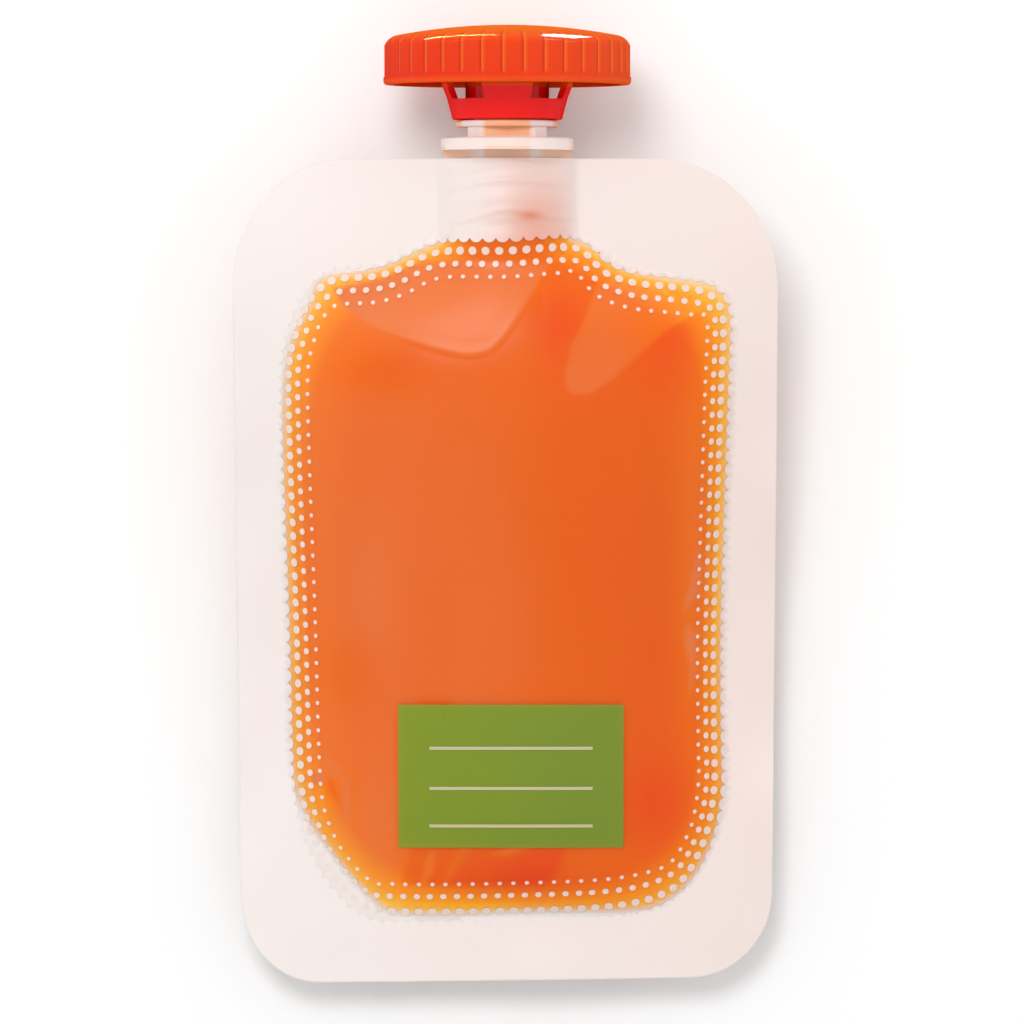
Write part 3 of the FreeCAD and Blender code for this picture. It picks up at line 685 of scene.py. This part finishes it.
def puree_material():
    """Smooth orange puree: yellow where it is thin, deep orange where it is thick, with fine pulp."""
    nodes = new_material("orange_puree")
    colour = nodes.ramp(
        nodes.attribute("depth"),
        (0.0, linear(255, 222, 130)),
        (0.08, linear(255, 200, 66)),
        (0.2, linear(254, 160, 30)),
        (0.4, linear(238, 112, 18)),
        (0.85, linear(227, 98, 20)),
    )
    cloud = nodes.scaled(nodes.noise(34, 2, (1, 0.3, 1), 0.45), 1.1, -0.55)
    # The tone, from the mesh, carries painted shade and painted highlights as well as the puree's own
    # patches.
    tone = nodes.math("ADD", nodes.attribute("tone"), cloud)
    deep = nodes.math("MULTIPLY", tone, 0.9, clamp=True)
    pale = nodes.math("MULTIPLY", tone, -0.9, clamp=True)
    colour = nodes.mix(deep, colour, linear(230, 66, 16))
    colour = nodes.mix(pale, colour, linear(230, 124, 70))
    speck = nodes.levels(nodes.noise(900, 3), (0.70, 0), (0.76, 0.4))
    shader = nodes.plastic(
        nodes.mix(speck, colour, linear(226, 76, 4)),
        0.5,
        IOR=1.08,
        Normal=nodes.bump(nodes.noise(500, 4), 0.1),
        Subsurface_Weight=0.15,
        Subsurface_Scale=0.003,
        Subsurface_Radius=(1.0, 0.4, 0.1),
    )
    return nodes.finish(shader)


def cap_material():
    """Glossy orange-red moulding, with painted light in its colour: brighter along the dome and the rim,
    where light comes through, a brighter orange on the right of the disc, a brighter red under the disc
    against the shade there, and a painted highlight and painted shade at each groove.
    """
    nodes = new_material("cap_moulding")
    low, high = (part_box("cap")[end][1] for end in (0, 1))
    x = nodes.axis("X")
    along = nodes.scaled(nodes.axis("Y"), 1 / (high - low), -low / (high - low))
    along = nodes.math("ADD", along, nodes.scaled(nodes.noise(90, 3), 0.05, -0.025))
    # Painted light: the underside is a brighter red to make up for the shade under the disc, and the rim
    # band and the dome are painted a brighter orange, as light that comes through the thin plastic.
    colour = nodes.ramp(
        along,
        (0.0, linear(252, 24, 20)),
        (0.33, linear(252, 22, 20)),
        (0.38, linear(234, 78, 8)),
        (0.44, linear(224, 44, 10)),
        (0.80, linear(224, 52, 8)),
        (0.93, linear(226, 96, 4)),
        (1.0, linear(224, 102, 4)),
    )
    # Painted highlight: the right of the disc is painted a brighter orange.
    right = nodes.math("MULTIPLY", nodes.scaled(x, 0.5 / (CAP_RADIUS * MM), 0.5), 0.4, clamp=True)
    on_disc = nodes.math("GREATER_THAN", along, 0.36)
    colour = nodes.mix(nodes.math("MULTIPLY", right, on_disc), colour, linear(232, 88, 4))

    # Painted highlight: a bright line at one side of each groove. Painted shade: darkest in the groove
    # itself.
    turn = nodes.math("ARCTAN2", x, nodes.math("SUBTRACT", nodes.axis("Z"), AXIS_HEIGHT * MM))
    turn = nodes.scaled(turn, FLUTE_COUNT / (2 * math.pi), -FLUTE_PHASE * FLUTE_COUNT / 360)
    turn = nodes.math("FRACT", turn)
    on_skirt = nodes.levels(along, (0.45, 0), (0.50, 1), (0.88, 1), (0.92, 0))
    glow = nodes.levels(turn, (0.02, 0), (0.07, 0.7), (0.12, 0.4), (0.24, 0))
    painted_groove_shade = nodes.levels(turn, (0.01, 0.5), (0.05, 0), (0.90, 0), (0.98, 0.5))
    colour = nodes.mix(nodes.math("MULTIPLY", glow, on_skirt), colour, linear(238, 116, 30))
    colour = nodes.mix(nodes.math("MULTIPLY", painted_groove_shade, on_skirt), colour, linear(176, 30, 8))
    shader = nodes.plastic(
        colour,
        0.4,
        IOR=1.0,
        Normal=nodes.bump(nodes.noise(700, 3), 0.03),
        Subsurface_Weight=0.25,
        Subsurface_Scale=0.002,
        Subsurface_Radius=(1.0, 0.3, 0.1),
    )
    return nodes.finish(nodes.coated(0.02, shader, nodes.gloss(0.06)))


def spout_material():
    """Milky natural plastic. The puree in the bore tints the thin wall in front of it."""
    nodes = new_material("natural_moulding")
    cloud = nodes.noise(120, 3)
    across = nodes.math("ABSOLUTE", nodes.axis("X"))
    height = nodes.math("ABSOLUTE", nodes.math("SUBTRACT", nodes.axis("Z"), AXIS_HEIGHT * MM))
    beside = nodes.math("DIVIDE", nodes.math("MINIMUM", across, height), 2 * BORE_RADIUS * MM)
    core = nodes.levels(beside, (0.0, 1), (0.38, 0.9), (0.46, 0.1), (0.7, 0))
    length = LIP - FILM_TOP
    along = nodes.scaled(nodes.axis("Y"), 1 / (length * MM), -FILM_TOP / length)
    flanges = ((0.0, 0.5), (0.095, 0.45), (0.105, 0.12), (0.188, 0.12), (0.198, 0.8), (1.0, 0.8))
    tint = nodes.math("MULTIPLY", core, nodes.levels(along, *flanges))
    milk = nodes.mix(cloud, linear(248, 231, 224), linear(251, 240, 235))
    shader = nodes.plastic(
        nodes.mix(tint, milk, linear(255, 178, 108)),
        0.3,
        IOR=1.3,
        Normal=nodes.bump(nodes.noise(400, 3), 0.05),
        Subsurface_Weight=0.3,
        Subsurface_Scale=0.002,
        Subsurface_Radius=(1.0, 0.7, 0.6),
    )
    return nodes.finish(nodes.see_through(nodes.scaled(cloud, 0.06, 0.92), shader))


def liner_material():
    """White foam liner."""
    nodes = new_material("liner_foam")
    cell = nodes.noise(1500, 2)
    colour = nodes.mix(cell, linear(226, 224, 218), linear(240, 238, 233))
    return nodes.finish(nodes.plastic(colour, 0.75, Normal=nodes.bump(cell, 0.3)))


def floor_material():
    """Pale studio floor: white to the camera where nothing shades it, and grey in the shadow."""
    nodes = new_material("studio_floor")
    path = nodes.add("ShaderNodeLightPath")
    seen = nodes.math("MAXIMUM", path.outputs["Is Camera Ray"], path.outputs["Is Glossy Ray"])
    seen = nodes.math("MAXIMUM", seen, path.outputs["Is Transmission Ray"])
    diffuse = nodes.add("ShaderNodeBsdfDiffuse", Color=grey(0.92))
    glow = nodes.add("ShaderNodeEmission", Color=WHITE, Strength=nodes.math("MULTIPLY", seen, 0.03))
    return nodes.finish(nodes.add("ShaderNodeAddShader", diffuse, glow))


# --- films and filling ---

PLAN_PITCH = 0.9
# The films come apart where they lie further than this inside the cavity's edge.
FREE_DEPTH = 0.02
# The membrane's own section is a parabola. A pouch is blunter, so its section is a cubic.
BLUNTNESS = 1.5
CREASE_FADING = 0.6
RIB_FADING = 0.3

film_loop = bowed(spaced([point for index in range(4) for point in corner_run(index)], PLAN_PITCH))
cavity_loop = spaced(smooth_loop(CAVITY), PLAN_PITCH)
plan, plan_faces = triangulate([film_loop, cavity_loop], PLAN_PITCH)
plan_faces = counter_clockwise(plan, plan_faces)
plan_x, plan_y = plan[:, 0], plan[:, 1]
plan_depth = depth_in(plan, cavity_loop)
pressure = membrane(plan, plan_faces, plan_depth > FREE_DEPTH)
fullness = 1 - (1 - pressure) ** BLUNTNESS

duct_start = WELD_FOOT - DUCT_LENGTH
weld = weld_half(plan_x) * fade(plan_y, duct_start, duct_start + DUCT_RAMP)
near_spout = fade(plan_y, 30.0, 44.0) * fade(np.abs(plan_x), 14.0, 10.0)
level = seam(plan_y) + ripple(plan_x, plan_y) * (1 - near_spout)


def opening(bulge):
    """How far a film stands off the seam."""
    return ((bulge * fullness) ** MERGE_POWER + weld**MERGE_POWER) ** (1 / MERGE_POWER)


front_open = opening(FRONT_BULGE)
back_open = opening(BACK_BULGE)
relief = creased(plan, CREASES, CREASE_FADING) * fade(front_open, 0.0, 4.0)
relief += creased(plan, WELD_RIBS, RIB_FADING)

front_inner = level + BOND / 2 + spacer(plan_y) + np.maximum(front_open + relief, 0)
back_inner = np.maximum(level - BOND / 2 - spacer(plan_y) - back_open, WALL)

film = film_material()
white_ink = ink_material("white_ink", (255, 247, 244), (252, 236, 230))
dot_ink = ink_material("dot_ink", (253, 238, 228), (250, 228, 216))
green_ink = ink_material("green_ink", (150, 176, 36), (122, 158, 62))
line_ink = ink_material("line_ink", (224, 212, 172), (218, 206, 166))
puree = puree_material()

# Heat frosts the film where it is sealed, and a little way in. It stays clear over the filling.
sealed = fade(plan_depth, 1.28, -0.32)


def make_film(name, inner, thickness, clear_haze, sealed_haze):
    over, under = inner + max(thickness, 0), inner + min(thickness, 0)
    item = mesh_object(name, *closed_shell(plan, over, under, plan_faces), film)
    keep_values(item, "haze", each_face(clear_haze + (sealed_haze - clear_haze) * sealed))
    return item


front_film = make_film("front_film_skin", front_inner, WALL, 0.004, 0.92)
back_film = make_film("back_film_skin", back_inner, -WALL, 0.04, 0.95)

WEB_OUTSIDE = 0.95 * WALL
WEB_INSIDE = 0.1 * WALL
WEB_HAZE = 0.3
FOLD_REACH = 1.5 * PLAN_PITCH


def make_gusset():
    """The folded web between the films at the bottom: two leaves that meet along the fold."""
    low = plan_faces[(plan_y[plan_faces] < FOLD_Y).all(axis=1)]
    points, faces, used = used_only(plan, low)
    edges = boundary_edges(faces)
    rim = np.unique(np.array(edges))
    fold = rim[points[rim, 1] > FOLD_Y - FOLD_REACH]
    points[fold, 1] = FOLD_Y
    middle, count = level[used], len(points)
    layers = []
    for height in (WEB_OUTSIDE, WEB_INSIDE):
        heights = np.full(count, height)
        heights[fold] = 0
        layers += [middle + heights, middle - heights]
    shell = np.vstack([at_height(points, layer) for layer in layers])

    # The outer faces of the two leaves share the points of the fold, and so do the inner faces.
    leaf = np.arange(4 * count).reshape(4, count)
    leaf[1, fold], leaf[3, fold] = leaf[0, fold], leaf[2, fold]
    sheets = [leaf[0][faces], leaf[1][faces[:, ::-1]], leaf[2][faces[:, ::-1]], leaf[3][faces]]
    folded = set(fold.tolist())
    walls = []
    for a, b in edges:
        if a in folded and b in folded:
            continue
        walls.append((leaf[0][b], leaf[0][a], leaf[2][a], leaf[2][b]))
        walls.append((leaf[1][a], leaf[1][b], leaf[3][b], leaf[3][a]))
    shell_faces = [tuple(face) for sheet in sheets for face in sheet] + walls
    used_points = np.unique(np.concatenate([np.array(face) for face in shell_faces]))
    again = np.zeros(len(shell), int)
    again[used_points] = np.arange(len(used_points))
    shell_faces = [tuple(again[list(face)]) for face in shell_faces]
    item = mesh_object("gusset_film", shell[used_points], shell_faces, film)
    keep_values(item, "haze", each_face(WEB_HAZE))
    return item


gusset_film = make_gusset()

FILL_SHARE = 0.97
FILL_EDGE = 0.15
DEPTH_UNIT = 20.0
# The column in the bore: its gap to the wall, reach below the spout's base and drop below the lip.
COLUMN_GAP = 0.1
COLUMN_REACH = 1.0
COLUMN_DROP = 0.6
COLUMN_DEPTH = 0.3
COLUMN_SIDES = 48
DOME_HEIGHT = 1.2
DOME_TURNS = (0.0, 0.5, 0.9, 1.2)
# Places where the puree is deeper in colour, or paler where the last value is below 0.
PUREE_PATCHES = (
    # x, y, reach along x, reach along y, strength
    (-21.0, 22.0, 9.0, 4.5, 0.45),
    (8.0, 29.0, 4.0, 7.0, 0.5),
    (26.0, 22.0, 6.0, 7.0, 0.35),
    (-26.0, -27.0, 5.0, 6.0, 0.3),
    (-28.0, -45.5, 2.5, 3.5, 0.7),
    (0.0, -60.5, 13.0, 3.0, 0.4),
    (24.0, -48.0, 6.0, 8.0, 0.5),
    # Painted light: this pale band makes up for the shade along the right side of the pouch.
    (31.5, -12.0, 4.0, 30.0, -0.45),
    (24.0, 29.0, 9.0, 6.0, 0.5),
    (-9.0, -5.0, 12.0, 26.0, -0.3),
    (-22.0, -15.0, 5.0, 14.0, -0.3),
    (-21.0, -52.0, 4.0, 10.0, -0.3),
)
# Painted shade: the puree deepens by this much from the middle to the right side of the pouch, and pales
# as much to the left, where the light falls.
PAINTED_SIDE_SHADE = 0.25
SIDE_X = 35.0


def puree_tone(points):
    """How deep the puree's colour is, from -1, pale, to 1, with painted shade across the pouch and some
    painted highlights.
    """
    tone = PAINTED_SIDE_SHADE * points[:, 0] / SIDE_X
    for x, y, reach_x, reach_y, strength in PUREE_PATCHES:
        apart = (points - (x, y)) / (reach_x, reach_y)
        tone += strength * np.exp(-(apart**2).sum(axis=1))
    for outline, strength in LOBES:
        tone += strength * fade(depth_in(points, spaced(outline, 0.5)), -LOBE_EDGE, LOBE_EDGE)
    return np.clip(tone, -1, 1)


def puree_column():
    """A round column along the spout's bore, with a domed end under the cap."""
    radius = BORE_RADIUS - COLUMN_GAP
    top = LIP - COLUMN_DROP
    rings = [(WELD_FOOT - COLUMN_REACH, radius)]
    for turn in DOME_TURNS:
        rings.append((top - DOME_HEIGHT * (1 - math.sin(turn)), radius * math.cos(turn) ** 0.5))
    points = []
    for y, ring in rings:
        for step in range(COLUMN_SIDES):
            turn = 2 * math.pi * step / COLUMN_SIDES
            points.append((ring * math.cos(turn), y, AXIS_HEIGHT + ring * math.sin(turn)))
    faces = []
    for start in range(0, len(points) - COLUMN_SIDES, COLUMN_SIDES):
        for step in range(COLUMN_SIDES):
            a, b = start + step, start + (step + 1) % COLUMN_SIDES
            faces.append((b, a, a + COLUMN_SIDES, b + COLUMN_SIDES))
    faces.append(tuple(range(COLUMN_SIDES)))
    faces.append(tuple(range(len(points) - 1, len(points) - 1 - COLUMN_SIDES, -1)))
    return np.array(points), faces


def make_puree():
    """The filling between the films, and the column of it that stands in the spout."""
    middles = plan[plan_faces].mean(axis=1)
    points, faces, used = used_only(plan, plan_faces[inside(middles, cavity_loop)])
    rim = np.unique(np.array(boundary_edges(faces)))
    middle = level[used]
    over = middle + FILL_SHARE * (front_inner[used] - middle)
    under = np.maximum(middle - FILL_SHARE * (middle - back_inner[used]), 2 * WALL)
    over[rim] = middle[rim] + FILL_EDGE
    under[rim] = middle[rim] - FILL_EDGE
    shell, shell_faces = closed_shell(points, over, under, faces)
    column, column_faces = puree_column()
    shell_faces += [tuple(len(shell) + index for index in face) for face in column_faces]
    item = mesh_object("puree_fill", np.vstack([shell, column]), shell_faces, puree, crisp=False)
    depth = np.tile(np.clip((over - under) / DEPTH_UNIT, 0, 1), 2)
    tone = np.tile(puree_tone(points), 2)
    keep_values(item, "depth", np.concatenate([depth, np.full(len(column), COLUMN_DEPTH)]))
    keep_values(item, "tone", np.concatenate([tone, np.zeros(len(column))]))
    return item


puree_fill = make_puree()

# --- print ---

INK = 0.03
INK_LIFT = 0.04
DOT_PITCH = 2.2
DOT_SIDES = 20
SCALLOP_RADIUS = 1.15
# How far the border stays inside the cut edge of the film.
TRIM = 0.15
LINE_PITCH = 0.25
ROW_PITCH = 0.1
ROW_ROUNDS = 12
# A row's points stay where they are at least this share of its offset from the first row.
ROW_SHARE = 0.93
ROW_SLACK = 0.01

surface = BVHTree.FromPolygons(
    [Vector(point) for point in at_height(plan, front_inner + WALL)],
    [tuple(int(i) for i in face) for face in plan_faces],
)


def on_film(points):
    """Heights of an ink layer's under side at the points in plan."""
    heights = []
    for x, y in points:
        above = Vector((x, y, 2 * AXIS_HEIGHT))
        hit = surface.ray_cast(above, Vector((0, 0, -1)))[0]
        if hit is None:
            hit = surface.find_nearest(Vector((x, y, seam(y) + WALL)))[0]
        heights.append(hit.z)
    return np.array(heights) + INK_LIFT


def printed(name, points, faces, material, cover):
    """A thin layer of ink on the front film, and how much of what is under it the ink covers."""
    heights = on_film(points)
    shell, shell_faces = closed_shell(points, heights + INK, heights, faces)
    item = mesh_object(name, shell, shell_faces, material)
    keep_values(item, "cover", each_face(cover))
    return item


def row_offset(left, right, low, high):
    """How far a row lies outside the first one, by the way that its edge of the film faces."""

    def distance(outward):
        x, y = outward.T
        across = np.where(x < 0, left, right)
        along = np.where(y < 0, low, high)
        return across * x**2 + along * y**2

    return distance


BORDER_OFFSET = row_offset(2.2, 2.2, 2.6, 2.5)
ROWS = (
    # offset from the first row, diameter of the dots, share of a pitch that they are shifted by
    (row_offset(0.0, 0.0, 0.0, 0.0), 1.36, 0.0),
    (row_offset(-1.5, -1.3, -2.5, -2.1), 1.05, 0.5),
    (row_offset(-3.1, -2.6, -4.5, -4.2), 0.70, 0.0),
)

dot_line = spaced(smooth_loop(DOT_LINE), LINE_PITCH)


def row_line(offset):
    """The line beside the first row, without the loops that a plain offset makes in sharp bends."""
    outward = outward_of(dot_line)
    step = offset(outward)
    line = dot_line + outward * step[:, None]
    clear = gap_to(line, dot_line) > ROW_SHARE * np.abs(step) - ROW_SLACK
    line = spaced(line[clear], LINE_PITCH)
    for _ in range(ROW_ROUNDS):
        line = (np.roll(line, 1, axis=0) + 2 * line + np.roll(line, -1, axis=0)) / 4
    return spaced(line, ROW_PITCH)


def pitched(line):
    """For each point of the line, how many pitches along the film it lies, and their whole number."""
    walk = at_height(line, on_film(line))
    steps = np.linalg.norm(np.roll(walk, -1, axis=0) - walk, axis=1)
    count = round(steps.sum() / DOT_PITCH)
    return (steps.cumsum() - steps) / steps.sum() * count, count


def over_base(points):
    """Whether the points in plan lie over the spout's base and the funnel before it, from 0 to 1."""
    x, y = points.T
    return fade(np.abs(x), 13.0, 8.0) * fade(y, 37.0, 42.0)


def border_blush(points):
    """How much orange from the spout shows in the border over its base, from 0 to 1."""
    x, y = points.T
    wide = 0.68 * np.exp(-(((x - 4.6) / 6.6) ** 2)) * (0.35 + 0.65 * fade(y, 56.0, 44.0))
    lens = 0.35 * np.exp(-(((x - 3.4) / 2.2) ** 2) - ((y - 46.6) / 0.8) ** 2)
    return over_base(points) * (wide + lens)


def make_border():
    """White border from the edge of the film in to a scalloped line."""
    line = row_line(BORDER_OFFSET)
    turns, _ = pitched(line)
    place = (turns % 1 - 0.5) * DOT_PITCH
    bump = np.sqrt(SCALLOP_RADIUS**2 - place**2)
    scallops = (line - outward_of(line) * bump[:, None])[::2]
    outer = film_loop - TRIM * outward_of(film_loop)
    points, faces = triangulate([outer, scallops], PLAN_PITCH, hole=scallops)
    over_filling = fade(depth_in(points, cavity_loop), -0.5, 0.5) * (1 - over_base(points))
    cover = 0.95 - 0.13 * over_filling
    item = printed("printed_border", points, counter_clockwise(points, faces), white_ink, cover)
    keep_values(item, "blush", border_blush(points))
    return item


def make_dots():
    """Three rows of round dots that grow smaller inward, faint over the bare seal."""
    points, faces = [], []
    for offset, diameter, shift in ROWS:
        line = row_line(offset)
        turns, count = pitched(line)
        places = np.searchsorted(turns, np.arange(count) + shift).clip(0, len(line) - 1)
        for x, y in line[places]:
            normal = surface.find_nearest(Vector((x, y, on_film([(x, y)])[0])))[1]
            side = normal.cross(Vector((0, 1, 0))).normalized()
            along = normal.cross(side)
            middle = len(points)
            points.append((x, y))
            for step in range(DOT_SIDES):
                turn = 2 * math.pi * step / DOT_SIDES
                spot = diameter / 2 * (side * math.cos(turn) + along * math.sin(turn))
                points.append((x + spot.x, y + spot.y))
                faces.append((middle, middle + 1 + step, middle + 1 + (step + 1) % DOT_SIDES))
    points, faces = np.array(points), np.array(faces)
    cover = 0.88 - 0.7 * fade(depth_in(points, cavity_loop), 0.0, -0.8)
    return printed("printed_dots", points, counter_clockwise(points, faces), dot_ink, cover)


# Left, low, right and high edge of the green panel, and the plain lines to write on.
PANEL = (-17.6, -55.5, 18.8, -32.3)
PANEL_COVER = 0.82
LINE_LEFT, LINE_RIGHT = -12.6, 13.8
LINE_LOWS = (-39.6, -46.1, -52.2)
LINE_WIDTH = 0.5
LINE_COVER = 0.9


def patch(low_x, low_y, high_x, high_y, pitch=0.8):
    """A rectangle as a fine grid of triangles."""
    columns = max(math.ceil((high_x - low_x) / pitch), 1) + 1
    rows = max(math.ceil((high_y - low_y) / pitch), 1) + 1
    x, y = np.meshgrid(np.linspace(low_x, high_x, columns), np.linspace(low_y, high_y, rows))
    points = np.column_stack([x.ravel(), y.ravel()])
    faces = []
    for row in range(rows - 1):
        for column in range(columns - 1):
            a = row * columns + column
            faces.append((a, a + 1, a + columns + 1))
            faces.append((a, a + columns + 1, a + columns))
    return points, np.array(faces)


def make_panel_lines():
    points, faces = [], []
    for low in LINE_LOWS:
        some, triangles = patch(LINE_LEFT, low, LINE_RIGHT, low + LINE_WIDTH)
        faces += [tuple(face) for face in triangles + sum(len(part) for part in points)]
        points.append(some)
    item = printed("label_lines", np.vstack(points), np.array(faces), line_ink, LINE_COVER)
    for vertex in item.data.vertices:
        vertex.co.z += (INK + INK_LIFT) * MM
    return item


printed_border = make_border()
printed_dots = make_dots()
label_panel = printed("label_panel", *patch(*PANEL), green_ink, PANEL_COVER)
label_lines = make_panel_lines()

# --- finishes of the CAD pieces ---


def paint(node, material):
    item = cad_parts[node]
    if not item.material_slots:
        item.data.materials.append(material)
    for slot in item.material_slots:
        slot.link = "OBJECT"
        slot.material = material


paint("cap", cap_material())
paint("spout", spout_material())
paint("cap_seal", liner_material())

# --- what rides on what ---

films = (front_film, back_film, gusset_film)
prints = (printed_border, printed_dots, label_panel, label_lines)
for piece in (*films, puree_fill, *prints):
    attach(piece, "pouch")
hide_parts("front_film")
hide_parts("back_film")
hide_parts("bottom_gusset")
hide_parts("puree")

# --- studio ---

FLOOR_DROP = 0.0001
AMBIENT = 0.77
AMBER = (1.0, 0.7, 0.2)
AREA_LIGHTS = (
    # name, place, aim, size, power, colour, whether only gloss sees it
    ("key", (-0.22, 0.48, 1.2), (0, 0, 0.01), (0.46, 0.46), 6.0, WHITE[:3], False),
    ("right_strip", (0.47, 0.71, 0.2), (0.01, 0.075, 0.036), (0.39, 0.012), 0.45, WHITE[:3], False),
    ("left_strip", (-0.40, 0.75, 0.22), (-0.01, 0.075, 0.036), (0.6, 0.01), 0.22, WHITE[:3], False),
    ("right_card", (0.031, 0.127, 0.012), (0.01, 0.077, 0.038), (0.028, 0.034), 0.2, WHITE[:3], True),
    ("left_card", (-0.035, 0.140, 0.012), (-0.01, 0.077, 0.038), (0.06, 0.005), 0.16, AMBER, True),
)


def make_floor():
    half = 3.0
    corners = [(-half, -half, 0), (half, -half, 0), (half, half, 0), (-half, half, 0)]
    mesh = bpy.data.meshes.new("studio_floor")
    mesh.from_pydata(corners, [], [(0, 1, 2, 3)])
    mesh.materials.append(floor_material())
    put("studio_floor", mesh, (0, 0, -FLOOR_DROP))


def make_area_light(name, place, aim, size, power, colour, only_gloss):
    data = bpy.data.lights.new(name, "AREA")
    data.shape = "RECTANGLE"
    data.size, data.size_y = size
    data.energy = power
    data.color = colour
    light = put(name, data, place, aim)
    light.visible_camera = False
    light.visible_diffuse = not only_gloss


def make_neck_spot():
    """A narrow soft light on the neck, which the cap would leave in shade."""
    data = bpy.data.lights.new("neck_spot", "SPOT")
    data.spot_size = math.radians(3.8)
    data.spot_blend = 0.9
    data.shadow_soft_size = 0.05
    data.energy = 5.0
    light = put("neck_spot", data, (0.0, 0.0635, 0.6), (0.0, 0.0635, 0.026))
    light.visible_glossy = False


def make_world():
    """Even light from all round, which looks white where the camera sees it."""
    world = bpy.data.worlds.new("studio")
    bpy.context.scene.world = world
    nodes = Nodes(world, "ShaderNodeOutputWorld")
    path = nodes.add("ShaderNodeLightPath").outputs
    seen = nodes.math("MAXIMUM", path["Is Camera Ray"], path["Is Transmission Ray"])
    strength = nodes.scaled(seen, 1 - AMBIENT, AMBIENT)
    nodes.finish(nodes.add("ShaderNodeBackground", Color=WHITE, Strength=strength))


make_floor()
for light in AREA_LIGHTS:
    make_area_light(*light)
make_neck_spot()
make_world()
bpy.context.scene.view_settings.view_transform = "Standard"
